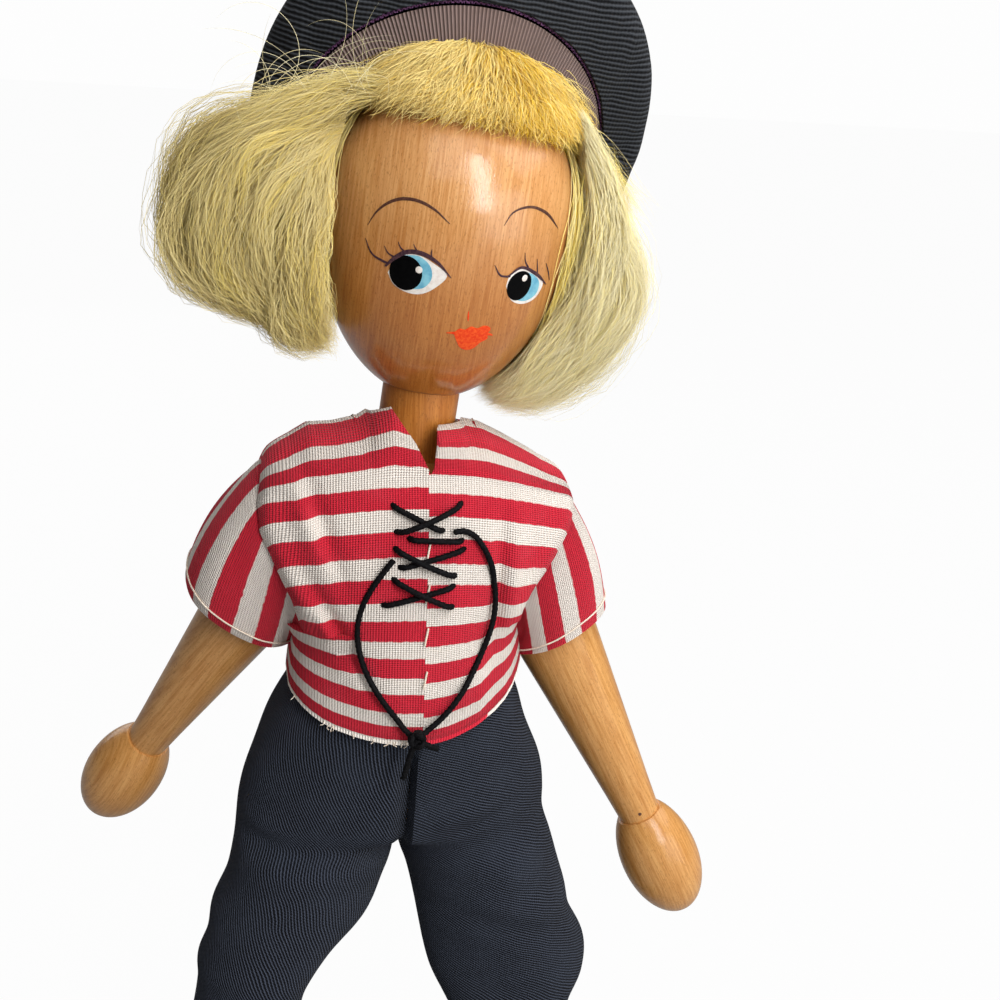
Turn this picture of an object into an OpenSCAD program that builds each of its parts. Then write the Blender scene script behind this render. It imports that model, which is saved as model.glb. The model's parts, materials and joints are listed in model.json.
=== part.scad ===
// Wooden peg doll in a striped shirt, twill trousers and a beret.
// The doll stands on z = 0 and faces -Y. Its left hand is towards +X.

/* [Head and neck] */
// Widest diameter of the turned head
head_d = 39; // [34:0.5:42]
// Height from the chin up to the widest level of the head
chin_h = 29; // [25:0.5:33]
// Height from the widest level up to the crown
crown_h = 21; // [18:0.5:24]
// Diameter of the neck
neck_d = 12.2; // [10:0.2:13]
// Length of the neck between the torso and the chin
neck_show = 9.5; // [8:0.5:14]
// Depth of the neck in the head
neck_in_head = 10; // [6:0.5:14]
// Diameter of the spigot that turns in the torso
spigot_d = 7; // [5:0.5:8]
// Length of that spigot
spigot_l = 7.5; // [5:0.5:8]
// Lean of the neck towards the doll's left, degrees
neck_lean = 6; // [0:0.5:6]
// Turn of the head towards the doll's left at rest, degrees
head_turn = 5; // [0:0.5:20]

/* [Torso] */
// Diameter of the chest
chest_d = 27; // [24:0.5:28]
// Diameter of the waist
waist_d = 25; // [22:0.5:26]
// Width across the sawn shoulder faces
shoulder_w = 17; // [15:0.5:18]
// Width across the sawn hip faces
hip_w = 13; // [12:0.5:14]
// Radius of the rounded lower end
hip_round = 12; // [10:0.5:12.5]
// Height of the shoulder pegs above the hip pegs
torso_rise = 43; // [41:0.5:46]
// Height of the torso's top above the shoulder pegs
shoulder_rise = 11; // [10.5:0.5:13]

/* [Arms] */
// Distance of the shoulder pivots from the middle
shoulder_x = 15.3; // [15.1:0.1:16.5]
// Splay of the arms, degrees
arm_splay = 27; // [24:0.5:30]
// Length of an arm from its pivot to the mouth of its hand
arm_l = 60; // [52:1:70]
// Diameter of an arm at the shoulder
arm_top_d = 16; // [14:0.5:16.5]
// Diameter of an arm where it leaves the sleeve
arm_mid_d = 13.8; // [11:0.2:14]
// Diameter of an arm at the wrist
wrist_d = 7.2; // [5:0.2:8]
// Length of a hand
hand_l = 21; // [18:0.5:24]
// Diameter of a hand
hand_d = 13.6; // [12:0.2:15]
// Depth of the hole in a hand
hand_bore = 9; // [6:0.5:12]
// Forward swing of the left arm at rest, degrees
left_arm_forward = 4; // [0:1:20]
// Backward swing of the right arm at rest, degrees
right_arm_back = 24; // [0:1:30]

/* [Legs and shoes] */
// Height of the hip pegs above the floor
hip_h = 76; // [72:1:82]
// Distance of the hip pivots from the middle
hip_x = 12; // [11.5:0.25:13]
// Splay of the legs, degrees
leg_splay = 15; // [13:0.5:17]
// Diameter of a leg at the hip
leg_top_d = 12.4; // [11:0.2:13]
// Diameter of a leg at the ankle
ankle_d = 8.6; // [6:0.2:10]
// Height of the ankle above the floor
ankle_h = 12; // [10:0.5:14]
// Depth of the leg in its shoe
leg_in_shoe = 7; // [5:0.5:8]
// Length of a shoe
shoe_l = 40; // [32:0.5:42]
// Distance of the heel behind the leg
heel_back = 8.6; // [7:0.2:11]
// Width of a shoe
shoe_w = 16; // [13:0.5:18]
// Height of a shoe's toe
toe_h = 8; // [6:0.5:10]
// Height of a shoe's collar above the ankle
shoe_collar = 1.5; // [0.5:0.5:3]

/* [Pegs] */
// Diameter of the shoulder and hip pegs
peg_d = 4; // [3:0.2:4.6]
// Depth of a shoulder peg in its arm
peg_in_arm = 7; // [4:0.5:9]
// Depth of a hip peg in its leg
peg_in_leg = 6; // [4:0.5:7]
// Wood left between the two pegs of a pair
peg_web = 2; // [1:0.5:4]

/* [Shirt] */
// Thickness of the shirt's cloth
shirt_t = 0.5; // [0.4:0.1:0.8]
// Half width of the shirt at the chest
shirt_half = 13.5; // [13.3:0.1:13.7]
// Half width of the shirt at its side hems
shirt_hem_half = 18.3; // [17:0.1:18.6]
// Room between the chest and the front of the shirt
shirt_ease = 3.4; // [3:0.1:5]
// Rise of the collar above the torso
collar_rise = 4.4; // [4:0.2:6]
// Height of the side hems below the shoulder pegs
shirt_side_l = 24.5; // [23:0.5:26]
// Drop of the front hem below the side hems
hem_drop = 5.8; // [3:0.2:6]
// Length of a sleeve along the arm, from the pivot
sleeve_l = 24; // [22:0.5:28]
// Room round the top of the arm in the sleeve
sleeve_ease = 7.3; // [7:0.1:8]

/* [Laces] */
// Diameter of the lace
lace_d = 1; // [0.8:0.1:1.2]
// Diameter of the knot
knot_d = 3; // [2.4:0.1:3.6]

/* [Trousers] */
// Thickness of the trousers' cloth
twill_t = 0.6; // [0.5:0.1:0.9]
// Half width of the seat at the hips
seat_half = 26; // [24:0.5:27]
// Height of the waist above the hip pegs
waist_rise = 23; // [22:0.5:24]
// Depth of the crotch below the hip pegs
crotch_drop = 13.6; // [13:0.2:16]
// Height of the trouser hems above the floor
trouser_hem = 15; // [13:0.5:20]
// Depth of the folds of a trouser leg
fold_depth = 0.9; // [0:0.1:1.2]

/* [Hair and beret] */
// Thickness of the wig
wig_t = 3; // [2:0.1:3.4]
// Height of the fringe's lower edge above the widest level of the head
fringe_rise = 9; // [6:0.5:12]
// Thickness of the fringe
fringe_t = 3.6; // [2.5:0.1:4.5]
// Reach of the right bunch from the head's axis
right_bunch_reach = 45; // [38:0.5:48]
// Reach of the left bunch from the head's axis
left_bunch_reach = 31; // [28:0.5:36]
// Half width of the beret's rim
beret_r = 31.5; // [28:0.5:34]
// Half height of the beret's rim, along its lean
beret_tall = 33; // [31.5:0.5:35]
// Thickness of the beret's cloth
beret_t = 1.2; // [0.8:0.1:1.6]
// Width of the ribbon band
band_w = 5.8; // [4:0.1:7]
// Slope of the band away from the wig, degrees
band_slope = 59; // [45:1:70]
// Thickness of the ribbon band
band_t = 0.5; // [0.4:0.1:0.8]

/* [Hidden] */
$fn = 48;

// Clearances: a peg that turns, a glued joint, faces that swing past each other, cloth over wood
run_gap = 0.05;
glue_gap = 0.03;
swing_gap = 0.3;
cloth_gap = 0.4;

// Colours
wood = [0.76, 0.52, 0.28];
dowel = [0.85, 0.68, 0.45];
shoe_paint = [0.05, 0.05, 0.06];
stripe_red = [0.78, 0.14, 0.22];
navy = [0.12, 0.13, 0.18];
black = [0.03, 0.03, 0.03];
mohair = [0.82, 0.76, 0.45];
mauve = [0.38, 0.29, 0.31];

// Radii and heights that follow from the driving sizes
head_r = head_d / 2;
neck_r = neck_d / 2;
chest_r = chest_d / 2;
waist_r = waist_d / 2;
hip_z = hip_h;
shoulder_z = hip_z + torso_rise;
torso_top = shoulder_z + shoulder_rise;
chin_z = torso_top + neck_show;
head_z = chin_z + chin_h;
shoulder_face = shoulder_w / 2;
arm_face = shoulder_face + swing_gap;
hip_face = hip_w / 2;
leg_face = hip_face + swing_gap;
leg_l = (hip_z - ankle_h) / cos(leg_splay);
sleeve_root_r = arm_top_d / 2 + sleeve_ease;
armhole_r = sleeve_root_r + swing_gap;
far = 100;

// An ellipse quarter as [radius, height] points, from angle a to angle b
function quarter(rx, rz, a, b, steps = 12) =
  [for (i = [0 : steps]) let (t = a + (b - a) * i / steps) [rx * cos(t), rz * sin(t)]];

// A straight mix of two values or points
function mix(a, b, t) = a + (b - a) * t;

// A ring of points round c, from the half axes u and v
function ring(c, u, v, sides) = [for (j = [0 : sides - 1]) c + cos(360 * j / sides) * u + sin(360 * j / sides) * v];

// Side faces between successive rings of a skin, seen from outside or from inside
function sides_of(rows, sides, first, inward = false) = [
  for (i = [0 : rows - 2], j = [0 : sides - 1])
    let (a = first + i * sides + j, b = first + i * sides + (j + 1) % sides)
    each (inward
      ? [[a, b + sides, a + sides], [a, b, b + sides]]
      : [[a, a + sides, b + sides], [a, b + sides, b]])
];

// A fan over one ring
function fan(sides, first, up) = [
  for (j = [1 : sides - 2]) up ? [first, first + j + 1, first + j] : [first, first + j, first + j + 1]
];

// The flat edge between the outer and the inner ring of a shell
function edge_of(sides, outer, inner, up) = [
  for (j = [0 : sides - 1])
    let (k = (j + 1) % sides)
    each (up
      ? [[outer + j, inner + k, outer + k], [outer + j, inner + j, inner + k]]
      : [[outer + j, outer + k, inner + k], [outer + j, inner + k, inner + j]])
];

function joined(rows) = [for (row = rows) each row];

// A closed solid through rings
module skin(rows) {
  sides = len(rows[0]);
  last = (len(rows) - 1) * sides;
  polyhedron(joined(rows), concat(fan(sides, 0, false), sides_of(len(rows), sides, 0), fan(sides, last, true)));
}

// A tube of cloth, open at both ends
module shell(outer, inner) {
  sides = len(outer[0]);
  n = len(outer);
  start = n * sides;
  polyhedron(
    concat(joined(outer), joined(inner)),
    concat(
      sides_of(n, sides, 0),
      sides_of(n, sides, start, true),
      edge_of(sides, 0, start, false),
      edge_of(sides, (n - 1) * sides, start + (n - 1) * sides, true)
    )
  );
}

// A cap of cloth, open at its first ring
module cup(outer, inner) {
  sides = len(outer[0]);
  n = len(outer);
  start = n * sides;
  inner_last = start + (n - 1) * sides;
  polyhedron(
    concat(joined(outer), joined(inner)),
    concat(
      sides_of(n, sides, 0),
      sides_of(n, sides, start, true),
      edge_of(sides, 0, start, false),
      fan(sides, (n - 1) * sides, true),
      fan(sides, inner_last, false)
    )
  );
}

// A round cord along points
cord_sides = 8;
function unit(v) = v / norm(v);
function heading(points, i) =
  unit(points[min(i + 1, len(points) - 1)] - points[max(i - 1, 0)]);
module cord(points, d) {
  skin([
    for (i = [0 : len(points) - 1])
      let (t = heading(points, i), u = unit(cross(t, [0, 1, 0])), v = cross(t, u))
      ring(points[i], u * d / 2, v * d / 2, cord_sides)
  ]);
}

// A peg along +X from x = a to x = b
module along_x(a, b, r) {
  translate([a, 0, 0]) rotate([0, 90, 0]) cylinder(r = r, h = b - a);
}

// Everything on the head turns about the leaning neck
module head_frame() {
  translate([0, 0, torso_top]) rotate([0, neck_lean, 0]) rotate([0, 0, head_turn]) translate([0, 0, -torso_top])
    children();
}

// A limb hangs from its pivot. side is 1 on the left, -1 on the right. swing is backwards.
module arm_frame(side, swing) {
  translate([0, 0, shoulder_z]) rotate([swing, 0, 0]) mirror([side < 0 ? 1 : 0, 0, 0]) children();
}
module leg_frame(side) {
  translate([0, 0, hip_z]) mirror([side < 0 ? 1 : 0, 0, 0]) children();
}

// The wood

// The head's egg, grown outwards all round
module egg(grow) {
  translate([0, 0, head_z]) rotate_extrude(angle = 360)
    polygon(concat(
      quarter(head_r + grow, chin_h + grow, -90, 0),
      quarter(head_r + grow, crown_h + grow, 5, 90)
    ));
}

module torso() {
  saw_drop = armhole_r + 2;
  saw_rise = leg_top_d / 2 + 2.8;
  rim = neck_r + 2.4;
  color(wood) difference() {
    intersection() {
      rotate_extrude() polygon([
        [0, hip_z - hip_round],
        [waist_r, hip_z - hip_round],
        [waist_r, hip_z + 14],
        [chest_r, shoulder_z - 8],
        [chest_r, shoulder_z + 2],
        [rim, torso_top + 2],
        [0, torso_top + 2]
      ]);
      union() {
        translate([-far / 2, -far / 2, hip_z]) cube(far);
        translate([0, 0, hip_z]) along_x(-far / 2, far / 2, hip_round);
      }
    }
    translate([0, 0, torso_top]) rotate([0, neck_lean, 0]) {
      translate([-far / 2, -far / 2, 0]) cube(far);
      translate([0, 0, -spigot_l - swing_gap]) cylinder(d = spigot_d + 2 * run_gap, h = far);
    }
    for (side = [-1, 1]) mirror([side < 0 ? 1 : 0, 0, 0]) {
      translate([shoulder_face, -far / 2, shoulder_z - saw_drop]) cube(far);
      translate([hip_face, -far / 2, hip_z + saw_rise - far]) cube(far);
      translate([0, 0, shoulder_z]) along_x(peg_web / 2, far, peg_d / 2 + run_gap);
      translate([0, 0, hip_z]) along_x(peg_web / 2, far, peg_d / 2 + run_gap);
    }
  }
}

module neck_dowel() {
  color(dowel) head_frame() {
    translate([0, 0, torso_top - spigot_l]) cylinder(d = spigot_d, h = spigot_l + neck_show);
    translate([0, 0, torso_top]) cylinder(d = neck_d, h = neck_show + neck_in_head);
  }
}

module head() {
  color(wood) head_frame() difference() {
    egg(0);
    translate([0, 0, chin_z - far]) cylinder(r = neck_r + glue_gap, h = far + neck_in_head + glue_gap);
  }
}

// An arm from its ball top, through its taper, to the spigot in the hand
module arm(side, swing) {
  top_r = arm_top_d / 2;
  tip = arm_l + hand_bore - swing_gap;
  color(wood) arm_frame(side, swing) difference() {
    translate([shoulder_x, 0, 0]) rotate([0, -arm_splay, 0]) rotate_extrude() polygon(concat(
      [[0, -tip], [wrist_d / 2, -tip], [wrist_d / 2, -arm_l], [arm_mid_d / 2, -sleeve_l]],
      quarter(top_r, top_r, 0, 90)
    ));
    translate([arm_face - far, -far / 2, -far / 2]) cube(far);
    along_x(0, arm_face + peg_in_arm + glue_gap, peg_d / 2 + glue_gap);
  }
}

// A hand is an egg-shaped bead, widest near its middle
module hand(side, swing) {
  r = hand_d / 2;
  mouth_r = wrist_d / 2 + 0.4;
  widest = 0.46 * hand_l;
  start = asin(mouth_r / r);
  reach = widest / cos(start);
  color(wood) arm_frame(side, swing) translate([shoulder_x, 0, 0]) rotate([0, -arm_splay, 0])
    translate([0, 0, -arm_l - widest]) difference() {
      rotate_extrude() polygon(concat(
        [for (i = [0 : 16]) let (t = -90 + 90 * i / 16) [r * cos(t), (hand_l - widest) * sin(t)]],
        [for (i = [1 : 12]) let (t = (90 - start) * i / 12) [r * cos(t), reach * sin(t)]],
        [[0, widest]]
      ));
      translate([0, 0, widest - hand_bore]) cylinder(r = wrist_d / 2 + glue_gap, h = far);
    }
}

module shoulder_peg(side, swing) {
  color(dowel) arm_frame(side, swing) along_x(peg_web / 2 + swing_gap, arm_face + peg_in_arm, peg_d / 2);
}

// A leg tapers from its ball top to a straight end that runs from above the shoe down into it
module leg(side) {
  top_r = leg_top_d / 2;
  tip = leg_l + leg_in_shoe;
  straight = shoe_collar + ankle_d / 2;
  color(wood) leg_frame(side) difference() {
    translate([hip_x, 0, 0]) rotate([0, -leg_splay, 0]) rotate_extrude() polygon(concat(
      [[0, -tip], [ankle_d / 2, -tip], [ankle_d / 2, straight - leg_l]],
      quarter(top_r, top_r, 0, 90)
    ));
    translate([leg_face - far, -far / 2, -far / 2]) cube(far);
    along_x(0, leg_face + peg_in_leg + glue_gap, peg_d / 2 + glue_gap);
  }
}

module hip_peg(side) {
  color(dowel) leg_frame(side) along_x(peg_web / 2 + swing_gap, leg_face + peg_in_leg, peg_d / 2);
}

// A shoe: the sole's outline cut by the shoe's side view, drilled along the leg
module shoe(side) {
  foot_x = hip_x + (hip_z - ankle_h) * tan(leg_splay);
  mid = heel_back - shoe_l / 2;
  heel_top = ankle_h + shoe_collar;
  color(shoe_paint) leg_frame(side) translate([0, 0, -hip_z]) difference() {
    intersection() {
      translate([foot_x, mid, 0]) linear_extrude(far) polygon([
        for (i = [0 : 47])
          let (t = 360 * i / 48, c = cos(t), s = sin(t))
          [shoe_w / 2 * sign(c) * pow(abs(c), 0.8) * (1 - 0.12 * s), shoe_l / 2 * sign(s) * pow(abs(s), 0.8)]
      ]);
      translate([-far, 0, 0]) rotate([90, 0, 90]) linear_extrude(2 * far) polygon(concat(
        [[heel_back + 1, 0], [heel_back + 1, heel_top - 3]],
        [for (a = [0 : 15 : 90]) [heel_back - 4 + 4 * cos(a), heel_top - 3 + 3 * sin(a)]],
        [[-heel_back + 1, heel_top]],
        [for (i = [1 : 8]) let (t = i / 8) [
          mix(-heel_back + 1, heel_back - shoe_l + toe_h, t),
          mix(heel_top, toe_h, (1 - cos(180 * t)) / 2)
        ]],
        [for (a = [15 : 15 : 90]) [heel_back - shoe_l + toe_h - toe_h * sin(a), toe_h * cos(a)]]
      ));
    }
    translate([hip_x, 0, hip_z]) rotate([0, -leg_splay, 0])
      translate([0, 0, -leg_l - leg_in_shoe - glue_gap]) cylinder(r = ankle_d / 2 + glue_gap, h = far);
  }
}

// The shirt

// A ring of a garment: half width, depths in front and behind, at a height that may sag in front
boxy = 2.8;
function garment_ring(half, front, back, z, sag, sides) = [
  for (j = [0 : sides - 1])
    let (
      t = 360 * j / sides,
      c = cos(t),
      s = sin(t),
      depth = s < 0 ? front : back,
      k = pow(pow(abs(c), boxy) + pow(abs(s), boxy), -1 / boxy),
      drop = sag * s * s * (s < 0 ? 1 : 0.5)
    )
    [half * k * c, depth * k * s, z - drop]
];

// Rows of the shirt from its hem up: height, half width, depth, share of the hem's drop
shirt_deep = chest_r + shirt_ease;
shirt_side_z = shoulder_z - shirt_side_l;
collar_z = torso_top + collar_rise;
shirt_rows = [
  [shirt_side_z, shirt_hem_half, shirt_deep + 3, 1],
  [shirt_side_z + 3.3, mix(shirt_half, shirt_hem_half, 0.48), shirt_deep + 2.5, 0.7],
  [shirt_side_z + 7, shirt_half + 0.4, shirt_deep + 1.9, 0.4],
  [shoulder_z - 12, shirt_half, shirt_deep + 1.1, 0.15],
  [shoulder_z - 4, shirt_half, shirt_deep + 0.3, 0],
  [shoulder_z + 4, shirt_half - 0.2, shirt_deep - 0.5, 0],
  [collar_z - 6.4, shirt_half - 0.8, shirt_deep - 2.1, 0],
  [collar_z - 2.4, shirt_half - 2.2, shirt_deep - 4.3, 0],
  [collar_z - 0.3, neck_r + 4.1, neck_r + 4.1, 0],
  [collar_z, neck_r + 2.7, neck_r + 2.5, 0]
];
shirt_sides = 40;
function shirt_skin(inset) = [
  for (row = shirt_rows)
    garment_ring(row[1] - inset, row[2] - inset, row[2] - inset, row[0], row[3] * hem_drop, shirt_sides)
];

// Half width of the shirt at its sides, and the front of the shirt under a point of the chest
shirt_half_table = [for (row = shirt_rows) [row[0], row[1]]];
front_half_table = [for (row = shirt_rows) [row[0] - row[3] * hem_drop, row[1]]];
front_deep_table = [for (row = shirt_rows) [row[0] - row[3] * hem_drop, row[2]]];
function shirt_front(x, z) =
  let (share = min(1, abs(x) / lookup(z, front_half_table)))
  -lookup(z, front_deep_table) * pow(1 - pow(share, boxy), 1 / boxy);

module shirt_body() {
  color(stripe_red) difference() {
    shell(shirt_skin(0), shirt_skin(shirt_t));
    for (side = [-1, 1]) arm_frame(side, 0)
      along_x(arm_face - swing_gap - 0.1, far, armhole_r);
  }
}

// Rings of a sleeve: outer point, inner point and half depth, round the arm from root to hem
sleeve_sides = 32;
sleeve_out = arm_mid_d / 2 + 3;
sleeve_in = arm_mid_d / 2 + 1;
hem_outer = [
  shoulder_x + sleeve_l * sin(arm_splay) + sleeve_out * cos(arm_splay),
  -sleeve_l * cos(arm_splay) + sleeve_out * sin(arm_splay)
];
hem_inner = [
  shoulder_x + sleeve_l * sin(arm_splay) - sleeve_in * cos(arm_splay),
  -sleeve_l * cos(arm_splay) - sleeve_in * sin(arm_splay)
];
root_x = arm_face - 0.1;
sleeve_rows = [
  [[root_x, sleeve_root_r], [root_x, -sleeve_root_r], sleeve_root_r],
  [[shoulder_x + 0.5, sleeve_root_r - 1.2], [shirt_half + 0.5, -sleeve_root_r + 0.2], sleeve_root_r - 0.2],
  [[shoulder_x + 8.5, sleeve_root_r - 7.6], [shirt_half + 0.9, -sleeve_root_r - 2.1], sleeve_root_r - 1.6],
  [mix([shoulder_x + 8.5, sleeve_root_r - 7.6], hem_outer, 0.5) + [1.3, 1],
   mix([shirt_half + 0.9, -sleeve_root_r - 2.1], hem_inner, 0.5), sleeve_root_r - 3.3],
  [hem_outer, hem_inner, arm_mid_d / 2 + 3.6]
];
function sleeve_ring(row, inset) =
  let (mid = (row[0] + row[1]) / 2, arm = (row[0] - row[1]) / 2, k = 1 - inset / norm(arm))
  ring([mid[0], 0, mid[1]], [arm[0] * k, 0, arm[1] * k], [0, -(row[2] - inset), 0], sleeve_sides);

module sleeve(side, swing) {
  color(stripe_red) arm_frame(side, swing)
    shell([for (row = sleeve_rows) sleeve_ring(row, 0)], [for (row = sleeve_rows) sleeve_ring(row, shirt_t)]);
}

// The lacing

// Stitches as pairs of points on the chest, with the layer that each lies in.
// A point is its distance from the middle and its height above the shoulder pegs.
// The lace lies on the front of the shirt, and hangs over the swinging sleeves.
stitches = [
  [[-5, 7], [3.2, 3], 0],
  [[6.2, 7.2], [-4.4, 2.8], 1],
  [[-2.4, 2], [6.4, 1.5], 0],
  [[7, 0.4], [-4, -2.6], 0],
  [[-4.6, 0.6], [5.5, -4.1], 1],
  [[5.5, -5.3], [-6.5, -8.6], 0],
  [[-4.8, -4.1], [5.2, -9], 1]
];
stitch_steps = 4;
function over_sleeve(x, z) =
  let (reach = pow(armhole_r, 2) - pow(z - shoulder_z, 2))
  abs(x) > shoulder_face - 1 && reach > 0 ? -sqrt(reach) : 0;
lace_spread = 9.5;
function on_chest(p, lift) =
  let (z = shoulder_z + p[1], front = shirt_front(min(abs(p[0]), lace_spread), z))
  [p[0], min(front, over_sleeve(p[0], z)) - lift, z];
lace_lift = lace_d / 2 + swing_gap;

module chest_lacing() {
  color(black) for (stitch = stitches) cord([
    for (i = [0 : stitch_steps])
      let (t = i / stitch_steps, over = stitch[2] * 1.2 * lace_d * sin(180 * t))
      on_chest(mix(stitch[0], stitch[1], t), lace_lift + over)
  ], lace_d);
}

// Routes of the two free ends on the chest, from the lacing down to the knot
left_route = [
  [-4.6, -1.1], [-6.2, -3.4], [-7.6, -5.8], [-8.8, -8.6], [-9.4, -11.4], [-9.5, -14.2],
  [-9, -17], [-8, -19.6], [-6.6, -22], [-5, -24.2], [-3.4, -26.2], [-2.2, -27.8]
];
right_route = [
  [4.6, 3.2], [6.2, 3.2], [8, 2.2], [9.4, 0.4], [10.6, -2], [11.4, -5], [11.8, -8],
  [11.7, -11], [11, -14], [9.9, -17], [8.4, -19.8], [6.6, -22.6], [4.6, -25], [2.8, -26.8], [1.4, -28]
];
module lace_end(route) {
  color(black) cord([for (p = route) on_chest(p, lace_lift)], lace_d);
}
module lace_left_end() {
  lace_end(left_route);
}
module lace_right_end() {
  lace_end(right_route);
}

// The knot, with a long tail and a short one
knot_at = [-0.4, -29];
knot_tails = [
  [[-1.2, -31], [-1.7, -33], [-2.3, -35.6]],
  [[1, -29.8], [2, -30.3], [3, -30.6]]
];
module lace_knot() {
  middle = on_chest(knot_at, knot_d / 2 + swing_gap);
  color(black) {
    translate(middle) sphere(d = knot_d, $fn = 12);
    for (tail = knot_tails) cord(
      concat([middle], [for (p = tail) [p[0], middle[1], shoulder_z + p[1]]]), lace_d
    );
  }
}

// The trousers

// Rows of the seat from the crotch up: height in the middle, half width, depth, rise at the sides
seat_bottom = hip_z - crotch_drop + 0.6;
waist_half = waist_r + cloth_gap + twill_t + 0.2;
seat_deep = shirt_deep - 0.4;
seat_rows = [
  [seat_bottom, seat_half + 1.6, 12.7, 5.6],
  [hip_z - 5, seat_half + 0.6, 14.5, 2],
  [hip_z + 2, seat_half - 0.4, seat_deep - 0.5, 0],
  [hip_z + 9, seat_half - 3, seat_deep + 0.8, 0],
  [hip_z + 14.5, mix(shirt_hem_half, seat_half, 0.17), seat_deep + 1.2, 0],
  [hip_z + 17.8, shirt_hem_half - 1.3, seat_deep + 0.5, 0],
  [hip_z + waist_rise - 2.4, mix(waist_half, shirt_hem_half, 0.2), waist_half + 1.6, 0],
  [hip_z + waist_rise, waist_half, waist_half, 0]
];
seat_sides = 36;
function seat_skin(inset) = [
  for (row = seat_rows) [
    for (p = garment_ring(row[1] - inset, row[2] - inset, row[2] - inset, row[0], 0, seat_sides))
      p + [0, 0, row[3] * pow(p[0] / row[1], 2)]
  ]
];
module trouser_seat() {
  color(navy) shell(seat_skin(0), seat_skin(twill_t));
}

// Rows of a trouser leg from its hem up: height, outer and inner half width, half depth
crotch_z = hip_z - crotch_drop;
function leg_x(z) = hip_x + (hip_z - z) * tan(leg_splay);
leg_span = crotch_z - trouser_hem;
trouser_rows = [
  [0, 10.8, 10.4, 12.4],
  [0.16, 10.4, 10.6, 12],
  [0.32, 10.6, 11.4, 12],
  [0.44, 11.4, 12.2, 12.2],
  [0.5, 12.3, 12.6, 12.4],
  [0.57, 12, 13, 12.2],
  [0.72, 11.8, 14, 12],
  [0.87, 12, 14.6, 11.8],
  [1, 12.5, 0, 11.7]
];
seam_gap = 0.35;
trouser_sides = 32;
function trouser_ring(row, inset) =
  let (z = trouser_hem + leg_span * row[0], x = leg_x(z), top = row[0] == 1)
  [
    for (j = [0 : trouser_sides - 1])
      let (
        t = 360 * j / trouser_sides,
        c = cos(t),
        s = sin(t),
        fold = fold_depth * sin(180 * row[0]) * (0.5 * cos(3 * t + 40) - 0.5),
        wide = (c > 0 ? row[1] : (top ? x - seam_gap : row[2])) + (top ? 0 : fold) - inset,
        deep = row[3] + fold - inset,
        rise = top ? 5.2 * pow((c + 1) / 2, 2) : 0
      )
      [x + wide * c, deep * s, z + rise - hip_z]
  ];
module trouser_leg(side) {
  color(navy) leg_frame(side)
    shell([for (row = trouser_rows) trouser_ring(row, 0)], [for (row = trouser_rows) trouser_ring(row, twill_t)]);
}

// The hair and the beret, in the head's own frame, with heights above its widest level

wig_front = -4;
nape_drop = 17;
module wig_cap() {
  color(mohair) head_frame() intersection() {
    difference() {
      egg(wig_t);
      egg(glue_gap);
    }
    translate([-far / 2, wig_front, head_z - nape_drop]) cube(far);
  }
}

module fringe() {
  color(mohair) head_frame() intersection() {
    difference() {
      egg(fringe_t);
      egg(glue_gap);
    }
    translate([-far / 2, wig_front - swing_gap - far, head_z + fringe_rise]) cube(far);
  }
}

// Radius of the head, grown, at a height above its widest level
function head_radius(h, grow) =
  let (span = (h > 0 ? crown_h : chin_h) + grow)
  (head_r + grow) * sqrt(max(0, 1 - pow(h / span, 2)));

// A point moved sideways out of the grown head
function off_head(p, grow) =
  let (away = norm([p[0], p[1]]), least = head_radius(p[2], grow))
  away < least ? [p[0] * least / away, p[1] * least / away, p[2]] : p;

// A bunch of hair from rows of height, middle, half width, half depth and place behind the head's axis
bunch_sides = 24;
module bunch(rows) {
  color(mohair) head_frame() translate([0, 0, head_z]) skin([
    for (row = rows) [
      for (p = ring([row[1], row[4], row[0]], [row[2], 0, 0], [0, row[3], 0], bunch_sides))
        off_head(p, (row[0] > -nape_drop / 2 ? wig_over + beret_t : fringe_t) + swing_gap)
    ]
  ]);
}

right_mid = right_bunch_reach - 12.8;
module right_bunch() {
  bunch([
    [-24, -right_mid + 6, 2, 2, 0],
    [-22, -right_mid + 5, 6, 6, 0],
    [-17, -right_mid + 2.5, 10, 9.5, 0],
    [-10, -right_mid + 0.5, 12, 11.5, -0.5],
    [-3, -right_mid, 12.8, 11, -2.5],
    [4, -right_mid + 0.5, 12.5, 9, -5],
    [10, -right_mid + 2, 10.5, 7, -7],
    [13.5, -right_mid + 4, 6, 4.5, -8],
    [15, -right_mid + 5, 2, 2, -8]
  ]);
}

left_mid = left_bunch_reach - 6.5;
module left_bunch() {
  bunch([
    [-29, left_mid - 11.5, 3, 3, 0],
    [-27, left_mid - 9.5, 6, 6, 0],
    [-22, left_mid - 5, 8.2, 8.5, 0],
    [-15, left_mid - 1.5, 8, 9.5, -0.5],
    [-8, left_mid, 6.5, 9, -2],
    [0, left_mid - 0.5, 5.5, 8, -4],
    [6, left_mid - 1.5, 4.2, 6, -6],
    [11, left_mid - 3, 2.5, 3, -7]
  ]);
}

// The band's plane crosses the head from the crown down to the nape
band_at = [1, 9.9, 6.3];
band_up = [0, -0.545, 0.839];
band_back = [0, 0.839, 0.545];
wig_over = fringe_t + 0.2;
band_deep = band_w * cos(band_slope);
band_flare = band_w * sin(band_slope);

// Distance from p along d to the grown head
function head_hit(p, d, grow, span) =
  let (
    w = head_r + grow,
    a = pow(norm([d[0], d[1]]) / w, 2) + pow(d[2] / span, 2),
    b = (p[0] * d[0] + p[1] * d[1]) / (w * w) + p[2] * d[2] / (span * span),
    c = pow(norm([p[0], p[1]]) / w, 2) + pow(p[2] / span, 2) - 1
  )
  (-b + sqrt(b * b - a * c)) / a;
function on_wig(p, d, grow) =
  let (high = p + d * head_hit(p, d, grow, crown_h + grow))
  high[2] >= 0 ? high : p + d * head_hit(p, d, grow, chin_h + grow);

cap_sides = 40;
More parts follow.
